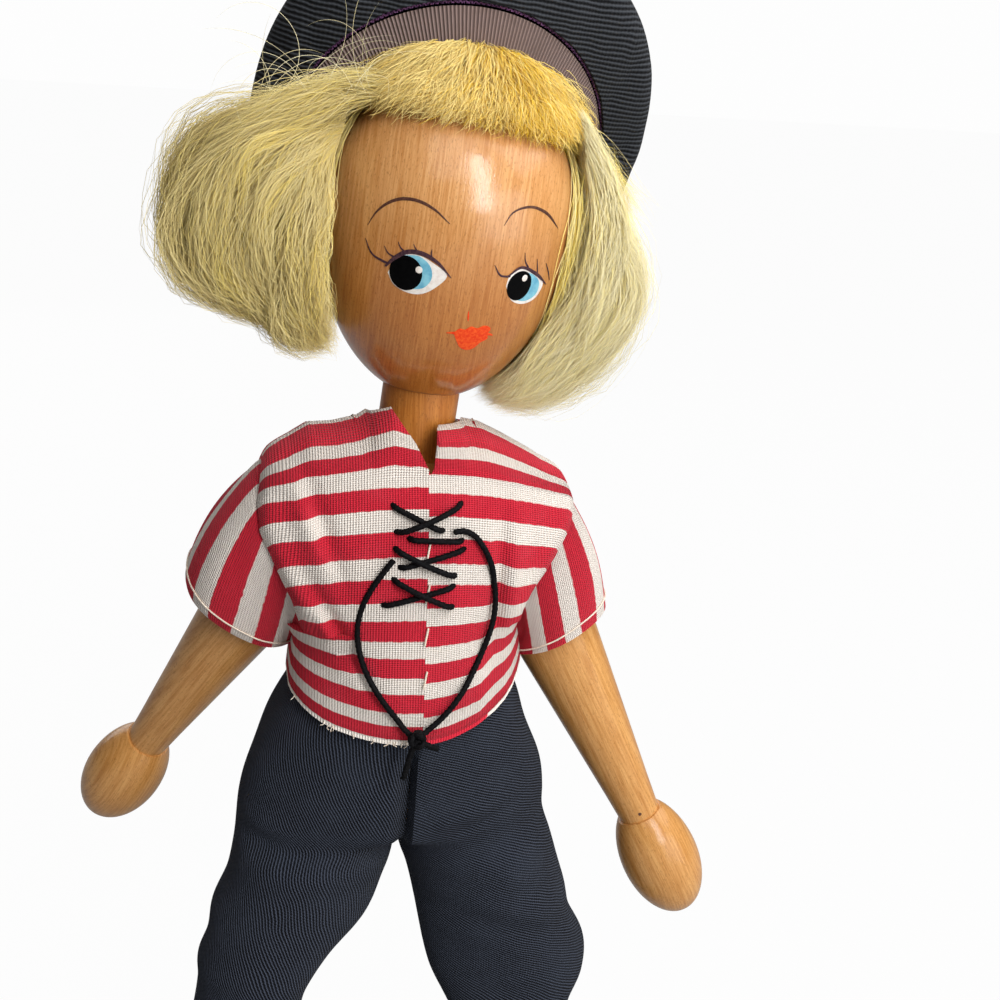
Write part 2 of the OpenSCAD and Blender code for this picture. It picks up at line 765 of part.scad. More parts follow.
// A ring round the wig, which flares at the crown and hardly at the nape
function wig_ring(back, grow, flare) = [
  for (j = [0 : cap_sides - 1])
    let (t = 360 * j / cap_sides)
    on_wig(band_at + band_back * back, cos(t) * [1, 0, 0] - sin(t) * band_up, grow + flare * (0.55 - 0.45 * sin(t)))
];

module beret_band() {
  function band_row(share, over) = wig_ring((share - 1) * band_deep, wig_over + over, share * band_flare);
  shares = [0, 0.5, 1];
  color(mauve) head_frame() translate([0, 0, head_z])
    shell([for (s = shares) band_row(s, band_t)], [for (s = shares) band_row(s, 0)]);
}

// The beret's rim stands up round the back of the head
rim_at = [2.5, 12, 11];
rim_up = [0, -0.433, 0.901];
rim_back = [0, 0.901, 0.433];
function rim_ring(back, share, inset) =
  ring(rim_at + rim_back * back, [beret_r * share - inset, 0, 0], -rim_up * (beret_tall * share - inset), cap_sides);

// Rows of the beret behind its opening: distance behind the rim's plane, share of the rim's size
rim_rows = [[-2.6, 0.955], [0.8, 1], [4.5, 0.955], [8.5, 0.82], [11.6, 0.58], [13.4, 0.3], [13.9, 0.05]];
function opening_ring(inset) = wig_ring(swing_gap, wig_over + beret_t - inset, band_flare);
function beret_skin(inset) = concat(
  [opening_ring(inset)],
  [[for (j = [0 : cap_sides - 1]) mix(opening_ring(inset)[j], rim_ring(rim_rows[0][0], 1, inset)[j], 0.55)]],
  [for (row = rim_rows)
    rim_ring(row[0] - (row[0] > 0 ? inset : -inset) * (1.1 - row[1]), row[1], inset * row[1])]
);
module beret_crown() {
  color(navy) head_frame() translate([0, 0, head_z]) cup(beret_skin(0), beret_skin(beret_t));
}

torso();
neck_dowel();
head();
arm(1, -left_arm_forward);  // left_arm
arm(-1, right_arm_back);  // right_arm
hand(1, -left_arm_forward);  // left_hand
hand(-1, right_arm_back);  // right_hand
shoulder_peg(1, -left_arm_forward);  // left_shoulder_peg
shoulder_peg(-1, right_arm_back);  // right_shoulder_peg
leg(1);  // left_leg
leg(-1);  // right_leg
hip_peg(1);  // left_hip_peg
hip_peg(-1);  // right_hip_peg
shoe(1);  // left_shoe
shoe(-1);  // right_shoe
shirt_body();
sleeve(1, -left_arm_forward);  // left_sleeve
sleeve(-1, right_arm_back);  // right_sleeve
chest_lacing();
lace_left_end();
lace_right_end();
lace_knot();
trouser_seat();
trouser_leg(1);  // trouser_left_leg
trouser_leg(-1);  // trouser_right_leg
wig_cap();
fringe();
left_bunch();
right_bunch();
beret_crown();
beret_band();
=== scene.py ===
"""Looks of a wooden peg doll in a striped shirt, twill trousers and a beret.

The doll stands on z = 0 and faces -Y, and its left hand is towards +X. Sizes are millimetres until a
mesh is made. Heights on the head are counted from its widest level, in the head's own frame.
"""

import json
import math

import bpy
import numpy as np
from mathutils import Matrix, Vector

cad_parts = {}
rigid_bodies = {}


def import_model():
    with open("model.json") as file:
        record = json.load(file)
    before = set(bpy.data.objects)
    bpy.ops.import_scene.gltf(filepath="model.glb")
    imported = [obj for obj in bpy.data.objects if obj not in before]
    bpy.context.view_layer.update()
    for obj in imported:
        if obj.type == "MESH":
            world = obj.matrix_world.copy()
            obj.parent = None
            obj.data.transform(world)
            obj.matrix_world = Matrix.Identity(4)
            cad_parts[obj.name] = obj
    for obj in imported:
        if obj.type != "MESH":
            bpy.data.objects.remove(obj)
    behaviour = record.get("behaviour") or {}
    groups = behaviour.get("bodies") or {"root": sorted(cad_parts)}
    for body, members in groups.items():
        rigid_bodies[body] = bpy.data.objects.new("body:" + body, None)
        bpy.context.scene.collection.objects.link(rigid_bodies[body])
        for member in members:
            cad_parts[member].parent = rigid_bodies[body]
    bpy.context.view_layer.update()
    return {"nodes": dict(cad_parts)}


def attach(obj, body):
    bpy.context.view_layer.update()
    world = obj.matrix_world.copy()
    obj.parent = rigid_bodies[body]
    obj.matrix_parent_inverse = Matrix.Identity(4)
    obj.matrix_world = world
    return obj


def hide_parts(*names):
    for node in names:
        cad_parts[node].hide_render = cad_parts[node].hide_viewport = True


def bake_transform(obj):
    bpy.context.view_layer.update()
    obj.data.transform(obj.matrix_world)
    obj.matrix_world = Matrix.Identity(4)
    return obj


for leftover in list(bpy.data.objects):
    bpy.data.objects.remove(leftover)
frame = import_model()
scene = bpy.context.scene
scene.view_settings.view_transform = "Standard"

MM = 0.001
rng = np.random.default_rng(7)

# Sizes of the wooden parts, as the frame has them
HEAD_R = 19.5
CROWN_H = 21.0
CHIN_H = 29.0
HEAD_Z = 168.5
TORSO_TOP = 130.0
NECK_LEAN = math.radians(6)
HEAD_TURN = math.radians(5)
SHOULDER_X = 15.3
SHOULDER_Z = 119.0
ARM_SPLAY = math.radians(27)
ARM_L = 60.0
ARM_SWING = {1: math.radians(-4), -1: math.radians(24)}
HIP_X = 12.0
HIP_Z = 76.0
LEG_SPLAY = math.radians(15)
ANKLE_H = 12.0
SIDES = {1: "left", -1: "right"}


# Small helpers


def srgb(red, green, blue):
    """A colour from 8-bit display values."""

    def linear(value):
        value /= 255
        return value / 12.92 if value <= 0.04045 else ((value + 0.055) / 1.055) ** 2.4

    return (linear(red), linear(green), linear(blue), 1.0)


def between(a, b, share):
    """From a to b by a share."""
    return a + (b - a) * share


def held(x):
    """Values held between 0 and 1."""
    return np.clip(x, 0, 1)


def evenly(count):
    """Shares from 0 to 1."""
    return np.linspace(0, 1, count)


def columns(*values):
    """Points from their coordinates, each an array or one value for all."""
    return np.stack(np.broadcast_arrays(*values), axis=-1)


def smooth(x, xs, ys):
    """A smooth curve through values or through rows of points, held level past its ends."""
    xs = np.asarray(xs, float)
    ys = np.asarray(ys, float)
    x = np.clip(np.asarray(x, float), xs[0], xs[-1])
    slope = np.gradient(ys, xs, axis=0)
    i = np.clip(np.searchsorted(xs, x, side="right") - 1, 0, len(xs) - 2)
    shape = x.shape + (1,) * (ys.ndim - 1)
    h = np.reshape(xs[i + 1] - xs[i], shape)
    t = np.reshape(x - xs[i], shape) / h
    a = (1 + 2 * t) * (1 - t) ** 2 * ys[i] + t * (1 - t) ** 2 * h * slope[i]
    b = t * t * (3 - 2 * t) * ys[i + 1] + t * t * (t - 1) * h * slope[i + 1]
    return a + b


def run_of(points):
    """Distances along a line of points, from its start."""
    steps = np.linalg.norm(np.diff(points, axis=0), axis=1)
    return np.concatenate([[0], np.cumsum(steps)])


def through(points, count):
    """A smooth path of count points through a short list of points."""
    points = np.asarray(points, float)
    at = run_of(points)
    return smooth(np.linspace(0, at[-1], count), at, points)


def unit(vectors):
    """Vectors brought to length 1."""
    return vectors / np.maximum(np.linalg.norm(vectors, axis=-1, keepdims=True), 1e-9)


def bump(x, centre, width):
    """A rounded hump of height 1."""
    return np.exp(-(((x - centre) / width) ** 2))


def circle(count):
    """Angles once round."""
    return np.linspace(0, 2 * math.pi, count, endpoint=False)


def boxy(turn, power):
    """A rounded square of half width 1, at those angles."""
    c, s = np.cos(turn), np.sin(turn)
    size = (np.abs(c) ** power + np.abs(s) ** power) ** (-1 / power)
    return size * c, size * s


def table(rows, x, column=1):
    """A value from a table, by its first column."""
    return np.interp(x, rows[:, 0], rows[:, column])


def grid_faces(rows, columns, wrap=False, outward=True):
    """Quads of a grid whose points run row by row, turned over if they would face inwards."""
    faces = []
    for i in range(rows - 1):
        for j in range(columns if wrap else columns - 1):
            k = (j + 1) % columns
            face = (i * columns + j, i * columns + k, (i + 1) * columns + k, (i + 1) * columns + j)
            faces.append(face if outward else face[::-1])
    return faces


def tube_faces(rows, sides):
    """Quads of a tube of rings, with both ends closed."""
    last = (rows - 1) * sides
    ends = [tuple(range(sides))[::-1], tuple(range(last, last + sides))]
    return grid_faces(rows, sides, wrap=True) + ends


def several(parts):
    """Points, faces and cloth places of several grids as one mesh. A grid may have no cloth places."""
    points, faces, cloth = [], [], []
    first = 0
    for grid in parts:
        grid_points = np.asarray(grid[0], float).reshape(-1, 3)
        points.append(grid_points)
        faces += [tuple(first + k for k in face) for face in grid[1]]
        cloth.append(np.reshape(grid[2], (-1, 3)) if len(grid) > 2 else 0 * grid_points)
        first += len(grid_points)
    return np.concatenate(points), faces, np.concatenate(cloth)


def piece(name, points, faces, material, cloth=None, tone=None, matrix=None):
    """A smooth mesh from points in millimetres. cloth and tone are kept on its points for the material."""
    mesh = bpy.data.meshes.new(name)
    mesh.from_pydata((np.asarray(points, float).reshape(-1, 3) * MM).tolist(), [], faces)
    for key, kind, field, values in (
        ("cloth", "FLOAT_VECTOR", "vector", cloth),
        ("tone", "FLOAT", "value", tone),
    ):
        if values is not None:
            layer = mesh.attributes.new(key, kind, "POINT")
            layer.data.foreach_set(field, np.asarray(values, np.float32).ravel())
    mesh.polygons.foreach_set("use_smooth", [True] * len(mesh.polygons))
    mesh.materials.append(material)
    mesh.validate()
    obj = bpy.data.objects.new(name, mesh)
    scene.collection.objects.link(obj)
    if matrix is not None:
        obj.matrix_world = matrix
    return obj


def settle(obj, thickness=0.0, crease=50):
    """Gives a sheet its thickness, inwards, and keeps its edges crisp."""
    if thickness:
        solid = obj.modifiers.new("thickness", "SOLIDIFY")
        solid.thickness = thickness * MM
        solid.offset = -1
        graph = bpy.context.evaluated_depsgraph_get()
        mesh = bpy.data.meshes.new_from_object(obj.evaluated_get(graph))
        obj.modifiers.clear()
        obj.data = mesh
    obj.data.set_sharp_from_angle(angle=math.radians(crease))
    return obj


def dress(made, body, slot, *nodes):
    """Joins a piece to its body and hides the nodes that it shows in their place. slot is not used."""
    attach(made, body)
    if nodes:
        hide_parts(*nodes)
    return made


# Frames of the moving parts

TO_HEAD = (
    Matrix.Translation((0, 0, TORSO_TOP * MM))
    @ Matrix.Rotation(NECK_LEAN, 4, "Y")
    @ Matrix.Rotation(HEAD_TURN, 4, "Z")
    @ Matrix.Translation((0, 0, (HEAD_Z - TORSO_TOP) * MM))
)


def arm_matrix(side):
    """From an arm's own frame, hanging down its -Z from the shoulder pivot."""
    return (
        Matrix.Translation((0, 0, SHOULDER_Z * MM))
        @ Matrix.Rotation(ARM_SWING[side], 4, "X")
        @ Matrix.Translation((side * SHOULDER_X * MM, 0, 0))
        @ Matrix.Rotation(-side * ARM_SPLAY, 4, "Y")
    )


def from_arm(local, side):
    """Points of an arm's own frame in the doll's frame."""
    matrix = np.array(arm_matrix(side))
    return local @ matrix[:3, :3].T + matrix[:3, 3] / MM


def round_head(radius, turn, height):
    """Points by their radius, their turn from the middle of the face and their height."""
    return columns(radius * np.sin(turn), -radius * np.cos(turn), height)


# Materials


class Shader:
    """A material's nodes, each made in one call."""

    def __init__(self, name, **constants):
        self.material = bpy.data.materials.new(name)
        self.material.use_nodes = True
        self.tree = self.material.node_tree
        self.surface = self.tree.nodes["Principled BSDF"]
        for socket, value in constants.items():
            self.surface.inputs[socket.replace("_", " ")].default_value = value

    def add(self, kind, inputs=None, **settings):
        """One node. An input that is a socket is linked, and any other is set."""
        made = self.tree.nodes.new("ShaderNode" + kind)
        for key, value in settings.items():
            setattr(made, key, value)
        for key, value in (inputs or {}).items():
            if isinstance(value, bpy.types.NodeSocket):
                self.tree.links.new(value, made.inputs[key])
            else:
                made.inputs[key].default_value = value
        return made

    def math(self, operation, a, b=0.0, c=0.0):
        return self.add("Math", {0: a, 1: b, 2: c}, operation=operation).outputs[0]

    def times(self, a, b):
        return self.math("MULTIPLY", a, b)

    def mix(self, share, a, b, blend="MIX"):
        """A mix of two colours, each a socket or 8-bit display values."""
        a, b = (srgb(*colour) if isinstance(colour, tuple) else colour for colour in (a, b))
        return self.add("Mix", {0: share, 6: a, 7: b}, data_type="RGBA", blend_type=blend).outputs[2]

    def ramp(self, value, low, high):
        """0 below low, 1 above high, smooth between."""
        ends = {0: value, 1: low, 2: high, 3: 0.0, 4: 1.0}
        return self.add("MapRange", ends, interpolation_type="SMOOTHSTEP").outputs[0]

    def overlay(self, colour, over, value, low, high, most):
        """A colour with another over it where a value goes from low to high, up to a share of most."""
        return self.mix(self.times(self.ramp(value, low, high), most), colour, over)

    def place(self, scale=(1, 1, 1), turn=0.0):
        """Places on the piece in millimetres, turned about Z and then squeezed by scale."""
        where = self.add("TexCoord").outputs["Object"]
        if turn:
            where = self.add("Mapping", {"Vector": where, "Rotation": (0, 0, turn)}).outputs[0]
        factor = tuple(1 / MM * s for s in scale)
        return self.add("Mapping", {"Vector": where, "Scale": factor}).outputs[0]

    def noise(self, scale, detail=3.0, rough=0.5, place=None):
        where = self.place() if place is None else place
        inputs = {"Vector": where, "Scale": scale, "Detail": detail, "Roughness": rough}
        return self.add("TexNoise", inputs).outputs["Fac"]

    def wave(self, place, pitch):
        """A sine along a place, with its pitch in millimetres."""
        return self.math("SINE", self.times(place, 2 * math.pi / pitch))

    def attribute(self, name):
        return self.add("Attribute", attribute_name=name).outputs

    def cloth(self):
        """The cloth places that the mesh holds, one socket each."""
        return self.add("SeparateXYZ", {0: self.attribute("cloth")["Vector"]}).outputs

    def link(self, value, socket):
        self.tree.links.new(value, self.surface.inputs[socket])

    def raise_by(self, height, distance, coat=False):
        """Bump of that depth in millimetres, in the varnish too if it has one."""
        made = self.add("Bump", {"Height": height, "Distance": distance * MM, "Strength": 1.0})
        for socket in ("Normal", "Coat Normal") if coat else ("Normal",):
            self.link(made.outputs[0], socket)

    def finish(self, colour, height=None, depth=0.0, coat=False):
        """The material, with its colour and with bump of that depth in millimetres."""
        self.link(colour, "Base Color")
        if height is not None:
            self.raise_by(height, depth, coat)
        return self.material


def wood_material(name, pale, dark, fleck, gloss, painted_shade_below=None, turn=0.0):
    """Turned wood under varnish: fine grain along Z, pores, streaks, and painted shade that can darken and
    deepen its lower part.
    """
    shader = Shader(name, Coat_Weight=gloss, Coat_Roughness=0.14, Specular_IOR_Level=0.2)
    grain = shader.noise(3.0, 5, 0.68, shader.place((1, 0.05, 0.04), turn))
    streak = shader.noise(0.8, place=shader.place((1, 0.1, 0.05), turn))
    pores = shader.noise(5.5, 2, place=shader.place((1, 0.4, 0.3), turn))
    colour = shader.mix(shader.ramp(grain, 0.28, 0.7), dark, pale)
    colour = shader.overlay(colour, dark, streak, 0.42, 0.75, 0.28)
    colour = shader.overlay(colour, fleck, pores, 0.56, 0.7, 0.45)
    # Painted shade: towards the bottom of the piece the colour darkens, where the head faces down, away from
    # the light.
    if painted_shade_below:
        height = shader.add("SeparateXYZ", {0: shader.place()}).outputs[2]
        low = shader.math("SUBTRACT", 1.0, shader.ramp(height, -17.0, 7.0))
        lower = shader.mix(1.0, colour, painted_shade_below, "MULTIPLY")
        colour = shader.mix(shader.times(low, 0.8), colour, lower)
    shader.link(shader.math("MULTIPLY_ADD", grain, 0.25, 0.26), "Roughness")
    return shader.finish(colour, shader.math("ADD", grain, pores), 0.02, coat=True)


STRIPE_PITCH = 8.2
RED_SHARE = 0.54
STRIPE_EDGE = 0.03
THREAD = 0.42
CENTRE_SHIFT = 1.2


def striped_cotton():
    """Plain-woven cotton, with painted shade between its threads. cloth holds the place across and along the
    stripes' run, and 1 on the front.
    """
    shader = Shader("striped_cotton", Roughness=0.9, Specular_IOR_Level=0.2, Sheen_Weight=0.06)
    across, along, front = shader.cloth()
    wobble = shader.times(shader.noise(0.9), 0.5)
    shift = shader.times(shader.math("GREATER_THAN", across, 0.0), CENTRE_SHIFT)
    shift = shader.times(shift, front)
    place = shader.math("ADD", shader.math("ADD", along, shift), wobble)
    phase = shader.math("FRACT", shader.math("DIVIDE", place, STRIPE_PITCH))
    past = shader.math("SUBTRACT", 1.0, shader.ramp(phase, RED_SHARE, RED_SHARE + STRIPE_EDGE))
    red = shader.times(shader.ramp(phase, 0.0, STRIPE_EDGE), past)
    weave = shader.math("ADD", shader.wave(across, THREAD), shader.wave(along, THREAD))
    uneven = shader.noise(3.2, 2)
    # Painted shade and highlight: both colours are darker between the threads and paler on them.
    weave_shading = shader.ramp(shader.math("ADD", weave, uneven), -1.9, 0.9)
    cream = shader.mix(weave_shading, (226, 206, 192), (255, 246, 236))
    scarlet = shader.mix(weave_shading, (172, 18, 38), (226, 40, 62))
    scarlet = shader.overlay(scarlet, (228, 84, 100), shader.noise(0.16), 0.5, 0.8, 0.2)
    colour = shader.mix(red, cream, scarlet)
    return shader.finish(colour, shader.math("MULTIPLY_ADD", uneven, 0.6, weave), 0.07)


def ribs(shader, sway_scale, sway, pitch, cross_pitch, cross):
    """Height of ribbed cloth: ribs that sway, and finer threads across them."""
    places = shader.cloth()
    shift = shader.times(shader.noise(sway_scale, 2), sway)
    rib = shader.wave(shader.math("ADD", places[0], shift), pitch)
    return shader.math("MULTIPLY_ADD", shader.wave(places[1], cross_pitch), cross, rib)


RIB_PITCH = 0.48
KNIT_PITCH = 0.74
LOOP_PITCH = 0.62
RIBBON_PITCH = 0.5


def twill():
    """Dark ribbed cloth, with painted highlight on its ribs and painted shade between them. cloth holds the
    place across and along the ribs.
    """
    shader = Shader("navy_twill", Roughness=0.9, Specular_IOR_Level=0.06, Sheen_Weight=0.03)
    height = ribs(shader, 0.11, 1.3, RIB_PITCH, THREAD, 0.3)
    # Painted highlight and shade: paler on the raised ribs, darker between them.
    colour = shader.mix(shader.ramp(height, -0.9, 1.0), (15, 15, 19), (72, 78, 92))
    colour = shader.overlay(colour, (64, 70, 82), shader.noise(0.13, 4), 0.4, 0.75, 0.3)
    colour = shader.overlay(colour, (104, 108, 118), shader.noise(1.9, 3, 0.7), 0.7, 0.84, 0.25)
    return shader.finish(colour, height, 0.14)


def beret_cloth():
    """Rib-knitted wool, with painted highlight on its ribs and painted shade between them. cloth holds the
    place across the ribs and along them.
    """
    shader = Shader("beret_wool", Roughness=0.95, Specular_IOR_Level=0.06, Sheen_Weight=0.05)
    height = ribs(shader, 0.22, 0.7, KNIT_PITCH, LOOP_PITCH, 0.16)
    fuzz = shader.noise(2.6, 4, 0.7)
    # Painted highlight and shade: paler on the raised ribs, darker between them.
    colour = shader.mix(shader.ramp(height, -1.0, 1.1), (20, 20, 22), (68, 71, 76))
    colour = shader.overlay(colour, (74, 77, 82), fuzz, 0.55, 0.8, 0.3)
    return shader.finish(colour, shader.math("MULTIPLY_ADD", fuzz, 0.8, height), 0.14)


def ribbon_material():
    """Ribbed mauve ribbon, with painted highlight on its ribs and painted shade between them. cloth holds the
    place along the ribbon.
    """
    shader = Shader("mauve_ribbon", Roughness=0.7, Specular_IOR_Level=0.3)
    rib = shader.wave(shader.cloth()[0], RIBBON_PITCH)
    # Painted highlight and shade: paler on the raised ribs, darker between them.
    colour = shader.mix(shader.ramp(rib, -1.0, 1.0), (102, 84, 80), (144, 123, 117))
    colour = shader.overlay(colour, (104, 86, 78), shader.noise(0.5, 4), 0.5, 0.8, 0.35)
    return shader.finish(colour, rib, 0.12)


def hair_material(name, ash, gold, shade):
    """Mohair. tone runs from shade through ash to gold, strand by strand."""
    shader = Shader(name, Roughness=0.5, Specular_IOR_Level=0.3)
    tone = shader.attribute("tone")["Fac"]
    colour = shader.mix(shader.ramp(tone, 0.0, 0.5), shade, ash)
    return shader.finish(shader.mix(shader.ramp(tone, 0.5, 1.0), colour, gold))


def paint(name, main, other, scale=1.6, gloss=0.35, shine=0.25):
    """Brushed enamel paint, a little uneven."""
    shader = Shader(name, Coat_Weight=gloss, Coat_Roughness=0.12, Specular_IOR_Level=shine)
    uneven = shader.noise(scale, 4, 0.6)
    shader.link(shader.math("MULTIPLY_ADD", uneven, 0.3, 0.3), "Roughness")
    return shader.finish(shader.mix(shader.ramp(uneven, 0.35, 0.7), main, other), uneven, 0.04)


def thread_material(name, dark, pale, rough=0.75, shine=0.2):
    """Twisted thread."""
    shader = Shader(name, Roughness=rough, Specular_IOR_Level=shine)
    fibre = shader.noise(4.5)
    return shader.finish(shader.mix(shader.ramp(fibre, 0.4, 0.7), dark, pale), fibre, 0.05)


HEAD_GRAIN = math.radians(13)
WOOD = wood_material("varnished_wood", (222, 166, 100), (188, 126, 60), (146, 90, 38), 0.55)
# The head's wood takes a colour for painted shade on its lower part.
HEAD_WOOD = wood_material(
    "varnished_head", (229, 172, 112), (196, 132, 70), (150, 92, 40), 1.0, (216, 178, 100), HEAD_GRAIN
)
DOWEL = wood_material("dowel_wood", (204, 134, 62), (170, 100, 38), (126, 72, 26), 0.35)
COTTON = striped_cotton()
TWILL = twill()
BERET = beret_cloth()
RIBBON = ribbon_material()
PICOT = thread_material("purple_picot", (58, 32, 62), (132, 88, 132))
LACE = thread_material("black_lace", (4, 4, 5), (24, 23, 26), 0.7, 0.1)
CREAM_THREAD = thread_material("cream_thread", (226, 208, 188), (250, 240, 226))
MOHAIR = hair_material("mohair", (220, 202, 140), (232, 208, 112), (170, 147, 86))
# A lighter copy of the mohair, as painted light: the bunch on the doll's lit left side takes it, and so do
# its flyaways and the stray wisps.
PAINTED_LIT_MOHAIR = hair_material("painted_lit_mohair", (240, 230, 188), (244, 228, 152), (198, 182, 130))
FRINGE_HAIR = hair_material("fringe_mohair", (244, 220, 140), (232, 188, 28), (206, 174, 96))
# A lighter copy of the mohair, as painted light, for the strands on the doll's lit left side.
PAINTED_LIT_STRIP_HAIR = hair_material("painted_lit_strip_mohair", (246, 230, 160), (246, 222, 104), (214, 192, 120))
BLACK_PAINT = paint("black_enamel", (2, 2, 3), (5, 5, 6), gloss=0.0, shine=0.06)
EYE_WHITE = paint("eye_white", (246, 240, 232), (232, 220, 210))
EYE_BLUE = paint("eye_blue", (92, 166, 196), (140, 204, 220), 0.5)
PEN = paint("brown_pen", (74, 46, 40), (102, 66, 50), 2.5, 0.1)
LID = paint("plum_pen", (56, 34, 46), (88, 58, 62), 2.5, 0.1)
LIP = paint("lip_red", (238, 56, 8), (250, 96, 30), 2.4, 0.15)
SHOE = paint("shoe_enamel", (12, 12, 14), (34, 33, 36), 0.5, 0.5)


# Wood


def lathe(name, profile, material, matrix, sides=96):
    """A turned piece from radius and height points, closed at both ends."""
    turn = circle(sides)
    rows = [columns(r * np.cos(turn), r * np.sin(turn), z) for r, z in profile]
    made = piece(name, rows, tube_faces(len(rows), sides), material, matrix=matrix)
    return settle(made, crease=45)


def arc(radius, height, start, end, steps=28):
    """Points of an ellipse, by angle in degrees."""
    turn = np.radians(np.linspace(start, end, steps))
    return [(radius * math.cos(t), height * math.sin(t)) for t in turn]


# Radius and height points of an arm from its spigot up to its round top, and sizes of a hand
ARM_PROFILE = [(3.6, -ARM_L - 6), (3.6, -ARM_L), (4.1, -ARM_L + 6), (6.9, -24.0), (7.6, -12.0)]
ARM_TOP_R = 7.9
HAND_R = 6.8
HAND_BELOW = 11.34
HAND_ABOVE = 11.95
HAND_DOWN = 9.66
# The small hole in the left wrist: distance down the arm, turn round it, radius, and radius of the arm there
PIN_DOWN = 58.4
PIN_TURN = math.radians(-95)
PIN_R = 0.3
WRIST_R = 3.75
PIN_LIFT = 0.03


def make_wood():
    """Head, arms and hands as smooth turned wood, and the finish of the pieces that stay as they are."""
    egg = arc(HEAD_R, CHIN_H, -71, 0) + arc(HEAD_R, CROWN_H, 3, 89)
    dress(lathe("turned_head", egg, HEAD_WOOD, TO_HEAD, 144), "head", "varnished_wood", "head")
    arm_profile = ARM_PROFILE + arc(ARM_TOP_R, ARM_TOP_R, 0, 84, 12)
    hand_profile = arc(HAND_R, HAND_BELOW, -89, 0, 20) + arc(HAND_R, HAND_ABOVE, 4, 54, 10)
    bead = Matrix.Translation((0, 0, (-ARM_L - HAND_DOWN) * MM))
    for side, word in SIDES.items():
        arm = lathe(f"turned_{word}_arm", arm_profile, WOOD, arm_matrix(side))
        hand = lathe(f"turned_{word}_hand", hand_profile, WOOD, arm_matrix(side) @ bead)
        dress(arm, f"{word}_arm", "varnished_wood", f"{word}_arm")
        dress(hand, f"{word}_arm", "varnished_wood", f"{word}_hand")
    make_pin_hole()
    for node, obj in frame["nodes"].items():
        material = SHOE if node.endswith("shoe") else DOWEL if "peg" in node or "dowel" in node else WOOD
        obj.data.materials.clear()
        obj.data.materials.append(material)


def make_pin_hole():
    """The hole of the pin that holds the left hand, drawn as a flat dark disc of painted shade."""
    turn = circle(12)
    round_arm = PIN_TURN + PIN_R * np.cos(turn) / WRIST_R
    out = WRIST_R + PIN_LIFT
    rim = columns(out * np.cos(round_arm), out * np.sin(round_arm), -PIN_DOWN + PIN_R * np.sin(turn))
    # Painted shade: a flat dark disc stands for the hole.
    made = piece("pin_hole", rim, [tuple(range(12))], PEN, matrix=arm_matrix(1))
    dress(made, "left_arm", "dowel_wood")


# The painted face

# Radius at which distances round the face are measured
FACE_R = 18.7
PAINT_THICK = 0.12


def head_radius(h, grow):
    """Radius of the head, grown, at a height."""
    span = np.where(h > 0, CROWN_H, CHIN_H) + grow
    return (HEAD_R + grow) * np.sqrt(np.maximum(0, 1 - (h / span) ** 2))


def on_face(flat, lift):
    """Points of the face from their distances round the head and their heights."""
    return round_head(head_radius(flat[:, 1], 0.0) + lift, flat[:, 0] / FACE_R, flat[:, 1])


def patch(outline, lift, rings=5, count=40):
    """A filled shape on the face: rings that shrink to its middle."""
    outline = np.asarray(outline, float)
    edge = through(np.vstack([outline, outline[:1]]), count + 1)[:-1]
    after = np.roll(edge, -1, axis=0)
    if (edge[:, 0] * after[:, 1] - after[:, 0] * edge[:, 1]).sum() < 0:
        edge = edge[::-1]
    middle = edge.mean(axis=0)
    points = []
    for i in range(rings):
        points.append(on_face(middle + (edge - middle) * (1 - i / rings), lift + 0.02 * min(i, 1)))
    points.append(on_face(middle[None], lift + 0.02))
    centre = rings * count
    last = centre - count
    fan = [(last + j, last + (j + 1) % count, centre) for j in range(count)]
    return np.concatenate(points), grid_faces(rings, count, wrap=True) + fan


def stroke(path, widths, lift, count=28):
    """A brush line on the face, with its width along the way."""
    path = through(path, count)
    wide = smooth(evenly(count), evenly(len(widths)), widths) / 2
    ahead = unit(np.gradient(path, axis=0))
    aside = columns(-ahead[:, 1], ahead[:, 0])
    rows = []
    for share, drop in ((-1, 0.02), (-0.5, 0), (0.5, 0), (1, 0.02)):
        rows.append(on_face(path + aside * (wide * share)[:, None], lift - drop))
    return np.concatenate(rows), grid_faces(4, count)


def disc(centre, radius, tall=1.0):
    """An outline round a point."""
    turn = circle(16)
    return columns(centre[0] + radius * np.cos(turn), centre[1] + radius * tall * np.sin(turn))


def face_piece(name, material, parts):
    """Painted shapes of one colour, on the head."""
    points, faces, _ = several(parts)
    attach(settle(piece(name, points, faces, material, matrix=TO_HEAD), PAINT_THICK, 80), "head")


# Outlines of the eyes and the mouth, left and right as the face is seen: distance round the head and height
LEFT_EYE = [
    (-12.2, -8.4), (-11.2, -6.6), (-9.7, -5.3), (-7.7, -5.2), (-5.6, -6), (-3.6, -7.4),
    (-4.9, -9.3), (-7.1, -10.7), (-9.5, -10.7), (-11.4, -9.8),
]
RIGHT_EYE = [
    (5.5, -7.9), (5.7, -6.2), (7.2, -5.2), (10, -5.8), (13, -7.4), (12.5, -9.2), (10.1, -10.4), (7.1, -9.9),
]
LEFT_IRIS = [(-10.4, -5.6), (-7.6, -5.35), (-6, -6.6), (-5.7, -8.2), (-6.7, -9.7), (-8, -10.1), (-10, -10)]
RIGHT_IRIS = [(7.4, -5.5), (10.2, -6), (12, -7.3), (12.1, -8.7), (10.3, -9.9), (7.5, -9.5)]
MOUTH = [
    (-0.9, -15.8), (0, -15), (0.9, -15.1), (1.7, -14.5), (2.9, -14.7), (3.9, -14.2), (5.3, -14.6),
    (5.1, -15.5), (5.5, -16.1), (4.4, -16.9), (3.6, -17.9), (2.4, -18.3), (1, -18), (-0.1, -16.9),
]
# Round dots of the eyes: middle, radius, and height as a share of the width
PUPILS = [((-9.5, -8.0), 2.45, 1.02), ((7.9, -7.7), 2.2, 1.02)]
EYE_LIGHTS = [((-7.6, -7.2), 0.5), ((8.4, -6.5), 0.5)]
